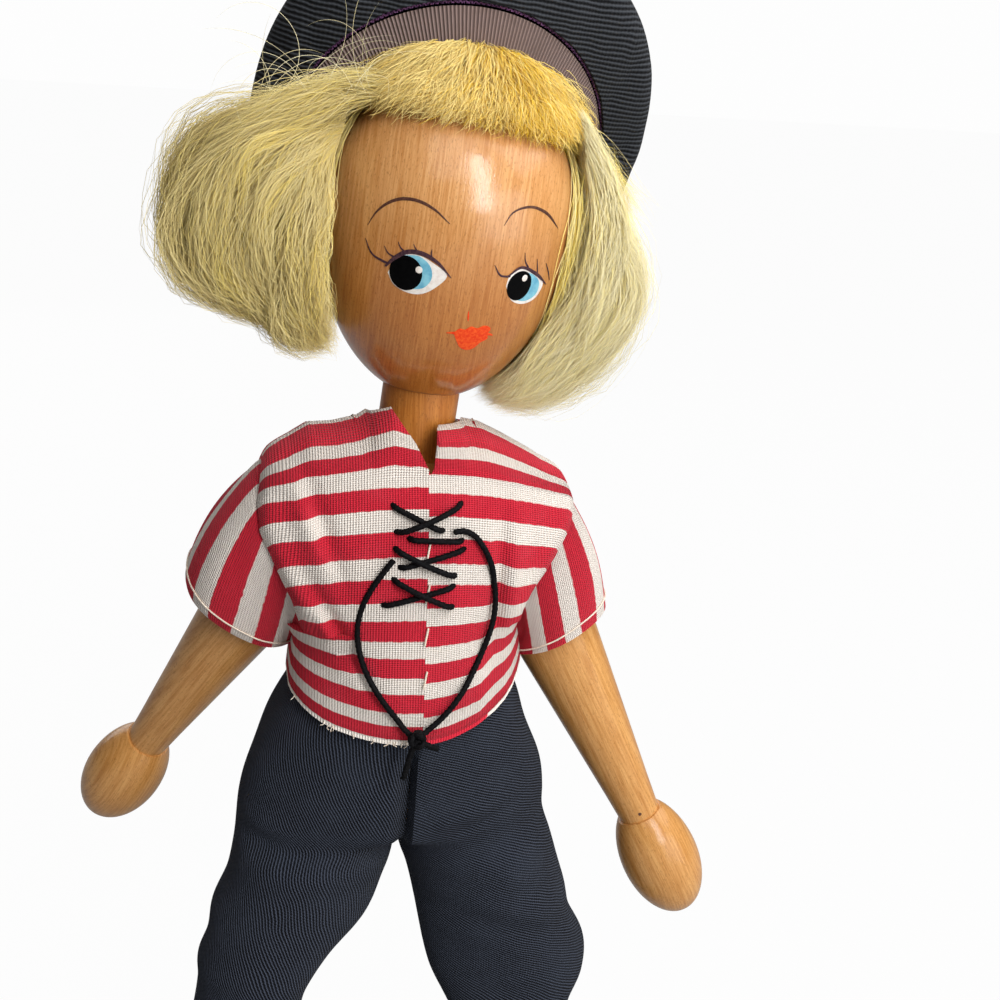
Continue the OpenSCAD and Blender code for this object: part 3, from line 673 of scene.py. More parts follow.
# Brush lines: the path, its widths along the way and how far it lies off the wood
BROWS = [
    (
        [(-16, -2.4), (-14.9, -0.4), (-13.3, 1.2), (-11.6, 2.1), (-9, 2.3), (-6.6, 1.5), (-4.3, -0.1)],
        [0.08, 0.28, 0.42, 0.46, 0.44, 0.3, 0.08], 0.07,
    ),
    ([(3.2, 0.7), (4.2, 2.5), (7.1, 3.7), (10.1, 3.2), (13.6, 1)], [0.08, 0.28, 0.4, 0.44, 0.12], 0.07),
]
LIDS_AND_LASHES = [
    (
        [(-12.6, -7.6), (-11.2, -6.1), (-9.6, -5), (-7.6, -4.8), (-5.4, -5.6), (-3, -7.6)],
        [0.3, 0.6, 0.66, 0.6, 0.4, 0.1], 0.16,
    ),
    ([(-16.2, -4.3), (-15, -6.2), (-12.2, -7.2)], [0.1, 0.28, 0.36], 0.09),
    ([(-13, -4.8), (-12.4, -5.6), (-11, -6.2)], [0.08, 0.2, 0.3], 0.09),
    ([(-11, -3.8), (-10.6, -4.5), (-9.8, -5.1)], [0.08, 0.2, 0.28], 0.09),
    ([(-8.8, -3.7), (-8.5, -4.2), (-8, -4.8)], [0.08, 0.18, 0.26], 0.09),
    ([(-6.2, -4), (-6.2, -4.6), (-6, -5.3)], [0.08, 0.18, 0.22], 0.09),
    ([(2.9, -5), (4.2, -6.4), (5.8, -6.4)], [0.08, 0.28, 0.3], 0.09),
    ([(5.2, -6.6), (7.2, -5), (10, -5.6), (13.8, -7.4)], [0.2, 0.42, 0.5, 0.12], 0.16),
    ([(7.4, -2.8), (7.8, -4), (8.6, -4.9)], [0.08, 0.2, 0.28], 0.09),
    ([(12.3, -4.2), (13.6, -5.6), (14.6, -6.8)], [0.08, 0.22, 0.1], 0.09),
    ([(10, -3.6), (10.4, -4.6), (10.8, -5.6)], [0.08, 0.18, 0.22], 0.09),
]
# The corners of the mouth and the dab under the nose
MOUTH_LINES = [
    ([(-2.1, -15.9), (-1, -15.8), (0.2, -15.7)], [0.1, 0.36, 0.5], 0.09),
    ([(4.6, -15.6), (5.6, -15.5), (6.2, -15.6)], [0.5, 0.4, 0.15], 0.09),
    ([(0.6, -12.2), (0.75, -12.9), (0.95, -13.7)], [0.1, 0.28, 0.1], 0.06),
]


def make_face():
    """Brows, eyes and mouth, painted on the head by hand."""
    for name, material, lift, outlines in (
        ("eye_whites", EYE_WHITE, 0.05, [LEFT_EYE, RIGHT_EYE]),
        ("irises", EYE_BLUE, 0.08, [LEFT_IRIS, RIGHT_IRIS]),
        ("pupils", BLACK_PAINT, 0.11, [disc(*dot) for dot in PUPILS]),
        ("eye_lights", EYE_WHITE, 0.14, [disc(*dot) for dot in EYE_LIGHTS]),
    ):
        face_piece(name, material, [patch(outline, lift) for outline in outlines])
    face_piece("brows", PEN, [stroke(*line) for line in BROWS])
    face_piece("lids_and_lashes", LID, [stroke(*line) for line in LIDS_AND_LASHES])
    face_piece("mouth", LIP, [patch(MOUTH, 0.08)] + [stroke(*line) for line in MOUTH_LINES])


# The shirt. A row of its cloth runs across the front, and the stripes follow the rows.

# Rows from the hem up: height in the middle, at the sides, half width, depth in front, depth behind
SHIRT_ROWS = np.array([
    [88.0, 97.6, 19.4, 19.4, 18.7],
    [91.5, 99.4, 19.2, 19.4, 18.6],
    [96.0, 101.6, 18.9, 19.0, 18.2],
    [100.5, 103.4, 18.8, 18.6, 17.6],
    [105.5, 105.4, 20.2, 18.1, 17.0],
    [111.0, 108.6, 23.5, 17.6, 16.8],
    [116.5, 111.4, 27.0, 17.0, 16.2],
    [121.5, 114.8, 30.0, 16.2, 15.4],
    [126.0, 118.6, 31.5, 15.2, 14.2],
    [129.6, 122.2, 31.0, 13.6, 12.8],
])
RIGHT_SAG = 5.5
SAG_TO = 34.0
NECK_HOLE = 7.6
CAP_FROM = 10.0
UNDERARM_ROW = 4
SEAM_X = 0.8
COTTON_THICK = 0.4
# How much squarer the shirt gets towards its hem, below which height and over what distance
SQUARER = 0.5
SQUARE_BELOW = 104
SQUARE_OVER = 14

# Upper edge of the shirt across its width: the shoulder lines, the collar and the slit at the neck
TOP_EDGE = np.array([
    [-27, 126], [-24, 129.8], [-20, 132.8], [-16.6, 135], [-13, 135.2], [-9, 136.2], [-6.4, 138],
    [-4.4, 139], [-1.2, 134.8], [0.3, 132], [1.3, 129.8], [1.7, 131.6], [2.1, 134.4], [2.6, 136.4],
    [6.2, 136.2], [10.4, 135.4], [14.2, 133.6], [19, 131], [24, 127.8], [27, 124.8],
])
SLIT_X = (-4.4, 2.6)
BACK_EDGE = np.array([
    [-27, 125.6], [-24, 129.2], [-20, 132.2], [-16.6, 134.4], [-13, 134.4], [-9, 135], [-4, 135.6],
    [0, 135.6], [4, 135.4], [9, 134.8], [14, 132.8], [20, 129.8], [24, 127], [27, 124.2],
])

ROW_AT = run_of(SHIRT_ROWS[:, [0, 3]])
UNDERARM_AT = ROW_AT[UNDERARM_ROW]
UPPER_L = 11.0

# Places of the red stripes' lower edges up the cloth
STRIPES_AT = (0.7, 5.4, 11.1, 17.0, 23.2, 30.4, 37.7, 43.9, 48.0, 56.0)


def stripe_run(q):
    """How far up the printed stripes a row of the cloth is."""
    return np.interp(q, STRIPES_AT, np.arange(len(STRIPES_AT)) * STRIPE_PITCH, left=-0.7)


def shirt_turn(x, q, z, front):
    """How far the cloth above the last row bends over, and the full height there. The slit stops it short."""
    edge = TOP_EDGE if front else BACK_EDGE
    whole = edge[(edge[:, 0] <= SLIT_X[0]) | (edge[:, 0] >= SLIT_X[1])]
    full_z = table(whole, x)
    rise = held((q - ROW_AT[-1]) / UPPER_L)
    cut = (table(edge, x) - z) / np.maximum(full_z - z, 0.1)
    return np.arcsin(np.clip(cut, 0.02, 1)) * rise, full_z


def shirt_run(points, q):
    """Places up the printed stripes, which stay level where the slit cuts into the cloth."""
    x = points[:, 0]
    in_slit = (x > SLIT_X[0]) & (x < SLIT_X[1]) & (points[:, 1] < 0)
    turn, _ = shirt_turn(x, q, SHIRT_ROWS[-1, 0], True)
    level = ROW_AT[-1] + UPPER_L * turn / (math.pi / 2)
    return stripe_run(np.where(in_slit & (q > ROW_AT[-1]), level, q))


def shirt_point(x, q, front):
    """Points of the shirt at x, q millimetres of cloth above the hem.

    Past the last row the cloth rises to the top edge.
    """
    middle_z, side_z, half, ahead, behind = smooth(q, ROW_AT, SHIRT_ROWS)
    share = np.clip(np.abs(x) / half, 0, 0.995)
    sag = np.where(x < 0, RIGHT_SAG * held(1 - q / SAG_TO), 0)
    z = middle_z + (side_z - middle_z - sag) * share**2
    power = 2.0 + SQUARER * held((SQUARE_BELOW - z) / SQUARE_OVER)
    y = (-ahead if front else behind) * (1 - share**power) ** (1 / power)
    if q <= ROW_AT[-1]:
        return columns(x, y, z)
    top_y = np.sqrt(np.maximum(0, NECK_HOLE**2 - x**2)) * (-1 if front else 1)
    turn, full_z = shirt_turn(x, q, z, front)
    return columns(x, between(top_y, y, np.cos(turn)), between(z, full_z, np.sin(turn)))


# Pairs of a ridge and a hollow in the front: places across and widths of both, their height, the slant
# of the fold, and the height and reach of its middle
FRONT_FOLDS = [
    ((15.4, 1.8, 12.4, 1.1), (1.3, 1.3), 0, (108, 12, 110, 11)),
    ((-14.5, 1.5, -12.0, 1.2), (1.2, 1.1), 0.55, (105, 7, 105, 7)),
    ((-17.5, 1.6, -14.8, 1.3), (0.8, 0.8), 0.35, (122, 8, 122, 8)),
]


def shirt_folds(points, front):
    """Soft folds of the shirt: how far the cloth stands out at each point."""
    x, z = points[..., 0], points[..., 2]
    if not front:
        return 0.5 * np.sin(x * 0.55) * bump(z, 96, 10) + 0.35 * np.sin(x * 0.33 + z * 0.2)
    out = 0.12 * bump(x, SEAM_X, 0.4)
    for across, height, slant, along in FRONT_FOLDS:
        place = x + slant * (z - along[0])
        out += height[0] * bump(place, *across[:2]) * bump(z, *along[:2])
        out -= height[1] * bump(place, *across[2:]) * bump(z, *along[2:])
    return out + 0.35 * np.sin(0.42 * x + 0.16 * z) * bump(z, 94, 8) * held(np.abs(x) / 10)


def shirt_surface(x, q, front):
    """The shirt with its folds."""
    points = shirt_point(x, q, front)
    points[..., 1] += (-1 if front else 1) * shirt_folds(points, front)
    return points


def shirt_rows_q(extra=14):
    """Places of the cloth rows, close together."""
    top = ROW_AT[-1]
    return np.concatenate([np.linspace(0, top, 64), np.linspace(top, top + UPPER_L, extra)[1:]])


# Points across the front or the back of the shirt's body, and down its side
PANEL_COLUMNS = 44
WALL_COLUMNS = 14


def shirt_side(q, side, start, end):
    """A side of the shirt's body: tucked in straight behind an armhole, and round below it."""
    share = evenly(WALL_COLUMNS + 2)[1:-1]
    if q > UNDERARM_AT:
        wall = between(start, end, share[:, None])
        wall[:, 0] -= side * 1.2 * np.sin(math.pi * share)
        return wall
    half = smooth(q, ROW_AT, SHIRT_ROWS[:, 2])
    reach = side * between(CAP_FROM, half * 0.992, np.sin(math.pi * share) ** 0.8)
    in_front = (share < 0.5) == (side > 0)
    return np.where(in_front[:, None], shirt_surface(reach, q, True), shirt_surface(reach, q, False))


def make_shirt_body():
    """The shirt's body: one closed ring of cloth, drawn in under the sleeves."""
    rows = shirt_rows_q()
    middle = np.linspace(-CAP_FROM, CAP_FROM, PANEL_COLUMNS)
    points, cloth = [], []
    for q in rows:
        front = shirt_surface(middle, q, True)
        back = shirt_surface(middle[::-1], q, False)
        left = shirt_side(q, 1, front[-1], back[0])
        right = shirt_side(q, -1, back[-1], front[0])
        ring = np.concatenate([front, left, back, right])
        points.append(ring)
        is_front = np.arange(len(ring)) < PANEL_COLUMNS
        cloth.append(columns(ring[:, 0] - SEAM_X, shirt_run(ring, q), is_front))
    faces = grid_faces(len(rows), len(ring), wrap=True)
    made = settle(piece("shirt_body_cloth", points, faces, COTTON, cloth), COTTON_THICK)
    dress(made, "torso", "striped_cotton", "shirt_body")


# Edge of the front panel at the armhole: place of the row and its distance from the middle
PANEL_EDGE = {
    1: np.array([[20, 17.6], [26, 19.6], [32, 22.4], [38, 25.0], [42, 25.6], [60, 24.6]]),
    -1: np.array([[18, 17.4], [25, 19.4], [32, 22.2], [37, 24.2], [42, 24.6], [60, 23.0]]),
}
# A sleeve: how far down the arm its hem is, the hem's reach outwards, inwards and in depth, its puff and
# the puff's shape, the length of its cloth, its stripes and where they start, and its rows with the
# stitched one
SLEEVE_S = 21.0
SLEEVE_OUT = {1: 9.8, -1: 12}
SLEEVE_IN = {1: 8.6, -1: 9.8}
SLEEVE_DEEP = 9.6
SLEEVE_PUFF = {1: 1.5, -1: 2.5}
PUFF_SHAPE = {1: 1.0, -1: 0.6}
SLEEVE_L = 22
SLEEVE_STRIPES = 9
STRIPE_SHIFT = 2.0
SLEEVE_STEPS = 30
STITCHED_STEP = 26
# How far the shoulder panels and the sleeve stay off the arm
PANEL_CLEAR = 0.9
SLEEVE_CLEAR = 0.7
# The turned-in head of the sleeve: how far up and down the arm it goes, how close it lies to the arm,
# how far inwards it goes, and its stripes
HEAD_FROM = 4.0
HEAD_TO = -17.0
HEAD_CLEAR = 0.4
ARM_FACE_X = 8.7
HEAD_STRIPES = 6
# Heights in an arm's own frame and its radius there
ARM_RADII = np.array([[-24, 6.9], [-12, 7.6], [0, 7.9], [4, 6.8], [7.9, 0.1]])
hem_rings = {}


def arm_radius(height):
    """Radius of an arm at a height in its own frame."""
    return table(ARM_RADII, height)


def off_arm(points, side, clear):
    """Cloth moved out of the arm under it."""
    matrix = np.array(arm_matrix(side))
    local = (points - matrix[:3, 3] / MM) @ matrix[:3, :3]
    radius = arm_radius(local[:, 2]) + clear
    away = np.maximum(np.linalg.norm(local[:, :2], axis=1), 0.01)
    local[:, :2] *= np.maximum(radius / away, 1)[:, None]
    return from_arm(local, side)


def make_sleeve(side):
    """A shoulder's panels and its sleeve, and the sleeve's turned-in head, which rides the arm."""
    word = SIDES[side]
    rows = shirt_rows_q(20)
    rows = rows[rows >= UNDERARM_AT - 0.5]
    across = evenly(26)
    droop = held((across - 0.86) / 0.14) ** 2
    swell = 0.5 * np.sin(math.pi * held((across - 0.7) / 0.3))
    parts, loops = [], {}
    for front in (True, False):
        points, cloth = [], []
        for q in rows:
            x = side * between(CAP_FROM, table(PANEL_EDGE[side], q), across)
            strip = shirt_surface(x, q, front)
            strip += columns(side * swell, (1 if front else -1) * 1.1 * droop, -0.8 * droop)
            points.append(off_arm(strip, side, PANEL_CLEAR))
            cloth.append(columns(x - SEAM_X, stripe_run(q), float(front)))
        loops[front] = np.array(points)[:, -1]
        faces = grid_faces(len(rows), len(across), outward=(side > 0) == front)
        parts.append((points, faces, cloth))
    under = [(loops[True][0] + loops[False][0]) / 2 + [side * 0.8, 0, -1.5]]
    ahead = through(np.concatenate([under, loops[True]]), 45)
    behind = through(np.concatenate([loops[False][::-1], under]), 45)
    parts.append(sleeve_tube(np.concatenate([ahead, behind[1:-1]]), side))
    points, faces, cloth = several(parts)
    made = settle(piece(f"{word}_sleeve_cloth", points, faces, COTTON, cloth), COTTON_THICK)
    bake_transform(made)
    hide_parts(f"{word}_sleeve")
    points, faces, cloth = sleeve_head(side)
    head = settle(piece(f"{word}_sleeve_head", points, faces, COTTON, cloth), COTTON_THICK / 2)
    dress(head, f"{word}_arm", "striped_cotton")


def sleeve_hem(side, count):
    """The hem's ring round the arm, from below, up its front, over and down its back."""
    turn = circle(count) - math.pi / 2
    aside = np.where(np.sin(turn) > 0, SLEEVE_OUT[side], SLEEVE_IN[side])
    return from_arm(columns(side * aside * np.sin(turn), -SLEEVE_DEEP * np.cos(turn), -SLEEVE_S), side)


def sleeve_cloth(length, turn, stripes, shift=0.0):
    """Cloth places of a ring of a sleeve, with its stripes along the arm."""
    run = STRIPE_PITCH * stripes * turn / (2 * math.pi)
    return columns(length, run + shift, 0)


def sleeve_tube(loop, side):
    """The sleeve from the armhole loop down to its hem."""
    count = len(loop)
    turn = circle(count)
    inside = between(loop, loop.mean(axis=0), 0.05)
    hem = sleeve_hem(side, count)
    points, cloth = [], []
    for k, t in enumerate(evenly(SLEEVE_STEPS)):
        ring = between(inside, hem, t)
        outward = unit(ring - ring.mean(axis=0))
        puff = SLEEVE_PUFF[side] * max(0, math.sin(math.pi * t)) ** PUFF_SHAPE[side]
        pleat = 0.35 * np.sin(5 * turn + 1.3) * math.sin(math.pi * t * 0.9)
        out = puff * held(-np.cos(turn) + 0.3) + pleat
        ring = off_arm(ring + outward * out[:, None], side, SLEEVE_CLEAR)
        points.append(ring)
        if k == STITCHED_STEP:
            hem_rings[side] = ring + outward * 0.12
        cloth.append(sleeve_cloth(t * SLEEVE_L, turn, SLEEVE_STRIPES, STRIPE_SHIFT))
    return points, grid_faces(SLEEVE_STEPS, count, wrap=True, outward=side < 0), cloth


def sleeve_head(side):
    """The cloth turned in close round the top of the arm, which shows when the arm is raised."""
    turn = circle(48)
    heights = np.linspace(HEAD_FROM, HEAD_TO, 16)
    points, cloth = [], []
    for height in heights:
        radius = arm_radius(height) + HEAD_CLEAR
        ring = from_arm(columns(side * radius * np.sin(turn), -radius * np.cos(turn), height), side)
        ring[:, 0] = side * np.maximum(side * ring[:, 0], ARM_FACE_X)
        points.append(ring)
        cloth.append(sleeve_cloth(height, turn, HEAD_STRIPES))
    return points, grid_faces(len(heights), len(turn), wrap=True, outward=side < 0), cloth


# Cord and thread


def rope(path, radius, lobes=3, depth=0.28, pitch=2.4, sides=15, step=0.3):
    """A twisted cord along a path: points and faces, closed at both ends."""
    path = np.asarray(path, float)
    line = through(path, max(6, int(run_of(path)[-1] / step)))
    ahead = unit(np.gradient(line, axis=0))
    side = unit(np.cross(ahead[0], [0.3, 1.0, 0.2]))
    turn = circle(sides)
    rows = []
    for point, way, gone in zip(line, ahead, run_of(line)):
        side = unit(side - way * (side @ way))
        other = np.cross(way, side)
        r = radius * (1 - depth + depth * np.abs(np.cos(lobes / 2 * (turn - 2 * math.pi * gone / pitch))))
        rows.append(point + r[:, None] * (np.cos(turn)[:, None] * side + np.sin(turn)[:, None] * other))
    return np.concatenate(rows), tube_faces(len(rows), sides)


def cord_piece(name, paths, radius, material, crease=75, matrix=None, **form):
    """One piece from several cords."""
    points, faces, _ = several([rope(path, radius, **form) for path in paths])
    return settle(piece(name, points, faces, material, matrix=matrix), crease=crease)


LACE_D = 1.0
LACE_LIFT = 0.8
STITCH_LIFT = 0.55
KNOT_LIFT = 1.8
# How deep a stitch dives into the cloth, and the share of it that does at each end
DIVE = 1.6
DIVE_SHARE = 0.08

# Rows of the frame's own shirt front, on which the lace lies: height, half width, depth
LACE_FRONT = np.array([
    [88.7, 18.3, 19.9], [93.74, 15.8, 19.4], [99.18, 13.9, 18.8], [106.13, 13.5, 18.0], [115, 13.5, 17.2],
    [123, 13.3, 16.4], [128, 12.7, 14.8], [132, 11.3, 12.6], [134.1, 10.2, 10.2],
])
FRONT_POWER = 2.8
FRONT_TO = 9.5
# The lace stays clear of the sleeves' round tops past this distance from the middle
SLEEVE_FROM = 7.5
SLEEVE_ROUND = 15.6
# Stitches: their ends, and 1 for those that cross over another
STITCHES = [
    [(-5, 7), (3.2, 3), 0], [(6.2, 7.2), (-4.4, 2.8), 1], [(-2.4, 2), (6.4, 1.5), 0],
    [(7, 0.4), (-4, -2.6), 0], [(-4.6, 0.6), (5.5, -4.1), 1], [(5.5, -5.3), (-6.5, -8.6), 0],
    [(-4.8, -4.1), (5.2, -9), 1],
]
# Ways of the free ends, left and right as the front is seen: distance from the middle and height
# above the shoulder pegs
LEFT_ROUTE = [
    (-4.6, -1.1), (-6.2, -3.4), (-7.6, -5.8), (-8.8, -8.6), (-9.4, -11.4), (-9.5, -14.2),
    (-9, -17), (-8, -19.6), (-6.6, -22), (-5, -24.2), (-3.4, -26.2), (-2.2, -27.8),
]
RIGHT_ROUTE = [
    (4.6, 3.2), (6.2, 3.2), (8, 2.2), (9.4, 0.4), (10.6, -2), (11.4, -5), (11.8, -8),
    (11.7, -11), (11, -14), (9.9, -17), (8.4, -19.8), (6.6, -22.6), (4.6, -25), (2.8, -26.8), (1.4, -28),
]
KNOT_AT = (-0.4, -29)
KNOT_TURN = 4.6 * math.pi
KNOT_TAILS = [[(-1.2, -31), (-1.7, -33), (-2.3, -35.6)], [(1, -29.8), (2, -30.3), (3, -30.6)]]


def on_chest(place, lift):
    """A point of the lace from its distance from the middle and its height above the shoulder pegs."""
    x, up = place
    z = SHOULDER_Z + up
    share = min(1.0, min(abs(x), FRONT_TO) / table(LACE_FRONT, z))
    front = -table(LACE_FRONT, z, 2) * (1 - share**FRONT_POWER) ** (1 / FRONT_POWER)
    over = SLEEVE_ROUND**2 - up**2
    if abs(x) > SLEEVE_FROM and over > 0:
        front = min(front, -math.sqrt(over))
    return np.array([x, front - lift, z])


def lace(name, paths, node):
    """A piece of the lace, for one node."""
    return dress(cord_piece(name, paths, LACE_D / 2, LACE), "torso", "lace", node)


def make_lacing():
    """The crossed stitches, the two free ends and their knot."""
    stitches = []
    for start, end, layer in STITCHES:
        path = []
        for t in evenly(9):
            dive = DIVE * max(0, abs(t - 0.5) - 0.5 + DIVE_SHARE) / DIVE_SHARE
            lift = STITCH_LIFT + layer * math.sin(math.pi * t) - dive
            path.append(on_chest(between(np.array(start), np.array(end), t), lift))
        stitches.append(path)
    lace("laced_stitches", stitches, "chest_lacing")
    middle = on_chest(KNOT_AT, KNOT_LIFT)
    turns = np.linspace(0, KNOT_TURN, 40)
    ball = columns(np.cos(turns), 0.7 * np.sin(1.5 * turns), 0.95 * np.sin(turns)) + middle
    tails = [[middle] + [np.array([x, middle[1], SHOULDER_Z + up]) for x, up in tail] for tail in KNOT_TAILS]
    knot = lace("tied_knot", [ball] + tails, "lace_knot")
    for word, route in (("left", LEFT_ROUTE), ("right", RIGHT_ROUTE)):
        path = [on_chest(place, LACE_LIFT) for place in route] + [middle]
        end = lace(f"loose_{word}_end", [path], f"lace_{word}_end")


# The trousers

# Rows of a leg from the hem up: height, middle, outer and inner half width, half depth
LEG_ROWS = np.array([
    [15.0, 28.3, 10.8, 10.4, 12.4],
    [22.6, 26.3, 10.4, 10.6, 12.0],
    [30.2, 24.3, 10.6, 11.4, 12.0],
    [35.9, 22.7, 11.6, 12.2, 12.2],
    [39.0, 21.9, 12.4, 12.6, 12.4],
    [42.6, 20.9, 12.1, 13.0, 12.2],
    [49.1, 19.2, 11.8, 14.0, 12.2],
    [56.2, 17.3, 12.0, 15.0, 12.4],
    [61.0, 16.0, 12.4, 15.7, 12.8],
])
# Rows of a half of the seat up to the waist: height, half width, depth in front, depth behind
SEAT_ROWS = np.array([
    [66.5, 27.6, 12.6, 13.6],
    [71.0, 27.0, 14.6, 15.4],
    [78.0, 25.6, 16.2, 16.6],
    [85.0, 23.0, 17.2, 17.4],
    [90.5, 19.6, 17.4, 17.0],
    [93.8, 17.4, 16.6, 16.4],
    [96.6, 15.2, 15.1, 15.1],
    [99.0, 13.9, 13.7, 13.7],
])
RIB_ANGLE = {1: math.radians(66), -1: math.radians(26)}
# Where each leg differs from those rows: height, more outwards, more inwards
LEG_EXTRA = {
    1: np.array([
        [15, -3.4, 2], [22.6, -4.2, 2.8], [30.2, -2.3, 3.5], [35.9, 0.9, 3.7], [39, 1.2, 3.4], [42.6, 1, 2.8],
        [49.1, 0.6, 1.5], [56.2, -0.2, 0.4], [61, -0.9, 0],
    ]),
    -1: np.array([
        [15, -1, -0.5], [30, -1, -2.6], [36, -1, -4], [41, -1, -3.4], [46, 0.6, -0.8], [50, 0.8, 0.8],
        [58, -0.6, 0.2], [61, -0.4, 0],
    ]),
}
SEAT_EXTRA = {1: -2.1, -1: -0.4}
SLIM_BELOW = 92
SLIM_OVER = 6
SEAT_POWER = 2.3
TWILL_THICK = 0.5
# The crease at the middle seam: depth, upper and lower end with the distance it fades over, and width
CREASE = 2.6
CREASE_TOP = (90, 10)
CREASE_LOW = (56, 8)
CREASE_WIDE = {1: 0.45, -1: 1.9}
TROUSER_COLUMNS = 97


def trouser_rows(side, turn):
    """The leg's rows and the seat's rows as points, and their heights."""
    rows = []
    for z, x, outer, inner, deep in LEG_ROWS:
        more_out, more_in = (table(LEG_EXTRA[side], z, column) for column in (1, 2))
        wide = np.where(np.cos(turn) > 0, outer + more_out, inner + more_in)
        rows.append(columns(x + wide * np.cos(turn), deep * np.sin(turn), z))
    for z, wide, front, back in SEAT_ROWS:
        level, deep = boxy(turn / 2, SEAT_POWER)
        slim = SEAT_EXTRA[side] * held((SLIM_BELOW - z) / SLIM_OVER)
        x = np.maximum((wide + slim) * level, 0.02)
        rows.append(columns(x, np.where(deep < 0, front, back) * deep, z))
    return np.array(rows), np.concatenate([LEG_ROWS[:, 0], SEAT_ROWS[:, 0]])


def trouser_folds(side, turn, x, z):
    """How far the trousers' folds stand out."""
    slant = z + 0.2 * x * side
    knee = 60 - 4 * side
    folds = 0.55 * np.sin(3 * turn + 0.09 * z + side) * bump(z, 38, 20)
    folds += (0.8 * bump(slant, knee, 2.2) - 0.7 * bump(slant, knee - 4, 2.2)) * bump(turn, -1.3, 0.7)
    folds += 0.5 * np.sin(0.5 * z + 2 * turn) * bump(z, 44, 6) * bump(turn, 0.3, 1.0)
    folds += 0.4 * np.sin(2.5 * turn + 0.2 * z) * bump(z, 76, 10)
    if side > 0:
        pull = z - 66 - 0.42 * x
        folds += (0.9 * bump(pull, 2.0, 1.5) - bump(pull, -1.0, 1.1)) * bump(x, 9, 6) * (turn < 0)
    return folds * held((math.pi - np.abs(turn)) / 0.5)


def trouser_half(side):
    """One leg with its half of the seat, as the sheet it was cut from, sewn along its inner seam."""
    turn = np.linspace(-math.pi, math.pi, TROUSER_COLUMNS)
    rows, at = trouser_rows(side, turn)
    points = smooth(np.linspace(at[0], at[-1], 150), at, rows)
    x, z = points[..., 0].copy(), points[..., 2].copy()
    outward = columns(np.cos(turn), np.sin(turn), 0)
    points += outward * trouser_folds(side, turn, x, z)[..., None]
    groove = CREASE * bump(x, 0, CREASE_WIDE[side])
    groove *= held((CREASE_TOP[0] - z) / CREASE_TOP[1])
    groove *= held((z - CREASE_LOW[0]) / CREASE_LOW[1])
    points[..., 1] += np.where(points[..., 1] < 0, groove, 0)
    steps = np.diff(points, axis=1, prepend=points[:, :1])
    across = np.cumsum(np.linalg.norm(steps, axis=2), axis=1)
    across -= across[:, TROUSER_COLUMNS // 2, None].copy()
    along = z - HIP_Z
    c, s = math.cos(RIB_ANGLE[side]), math.sin(RIB_ANGLE[side])
    cloth = columns(side * across * c + along * s, along * c - across * s, 0)
    return points * [side, 1, 1], cloth


def make_trousers():
    """Both halves of the trousers."""
    for side, word in SIDES.items():
        points, cloth = trouser_half(side)
        faces = grid_faces(*points.shape[:2], outward=side > 0)
        made = settle(piece(f"{word}_trouser_cloth", points, faces, TWILL, cloth), TWILL_THICK)
        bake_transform(made)
        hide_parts(f"trouser_{word}_leg", "trouser_seat")


# The shoes: share of the way from heel to toe with the half width, and with the height
SHOE_L = 40
HEEL_Y = 8.6
SHOE_HALF = 8.0
SHOE_WIDE = np.array([
    [0, 0.1], [0.04, 0.52], [0.15, 0.86], [0.35, 0.9], [0.55, 0.93], [0.8, 1], [0.93, 0.78], [0.98, 0.46],
    [1, 0.08],
])
SHOE_TALL = np.array([
    [0, 4.5], [0.04, 9.5], [0.12, 13], [0.38, 13.5], [0.55, 11.2], [0.72, 8.9], [0.9, 7.4], [0.97, 5.4],
    [1, 2.6],
])


def make_shoes():
    """Rounded painted shoes, made of sections from heel to toe."""
    foot_x = HIP_X + (HIP_Z - ANKLE_H) * math.tan(LEG_SPLAY)
    turn = circle(40)
    level, upright = boxy(turn, 3)
    level = level * np.where(np.sin(turn) > 0, 1 - 0.22 * np.sin(turn), 1)
    for side, word in SIDES.items():
        rows = []
        for at in evenly(40):
            x = SHOE_HALF * smooth(at, *SHOE_WIDE.T) * level
            z = smooth(at, *SHOE_TALL.T) / 2 * (1 + np.clip(upright, -1, 1))
            rows.append(columns(side * foot_x + x, HEEL_Y - SHOE_L * at, z))
        made = piece(f"{word}_shoe_shell", rows, tube_faces(len(rows), len(turn)), SHOE)
        dress(settle(made, crease=40), f"{word}_leg", "shoe_paint", f"{word}_shoe")


# The beret and its band, in the head's frame

ASIDE = np.array([1, 0, 0])
BAND_AT = np.array([1, 9.9, 6.3])
BAND_UP = np.array([0, -0.545, 0.839])
BAND_BACK = np.array([0, 0.839, 0.545])
BAND_W = 5.8
BAND_SLOPE = math.radians(59)
BAND_DEEP = BAND_W * math.cos(BAND_SLOPE)
BAND_FLARE = BAND_W * math.sin(BAND_SLOPE)
BAND_RUN = 150
WIG_OVER = 3.8
RIM_AT = np.array([1.7, 12, 11])
RIM_UP = np.array([0, -0.433, 0.901])
RIM_BACK = np.array([0, 0.901, 0.433])
BERET_R = 30.7
BERET_TALL = 33.0
BERET_BOX = 2.3
BERET_THICK = 1.0
RIBBON_THICK = 0.4
PICOT_LOOPS = 240
PICOT_R = 0.17
# Rings of the beret from its rim to its top: distance back and share of the rim's size
RIM_ROWS = [(-2.6, 0.955), (0.8, 1), (4.5, 0.955), (8.5, 0.82), (11.6, 0.58), (13.4, 0.3), (13.9, 0.05)]


def on_wig(start, way, grow):
    """Where a line from inside leaves the grown head."""
    wide = HEAD_R + grow
    for span, upper in ((CROWN_H + grow, True), (CHIN_H + grow, False)):
        scale = np.array([wide, wide, span])
        p, d = start / scale, way / scale
        a, b, c = d @ d, p @ d, p @ p - 1
        hit = start + way * (-b + math.sqrt(b * b - a * c)) / a
        if (hit[2] >= 0) == upper:
            return hit
    return hit


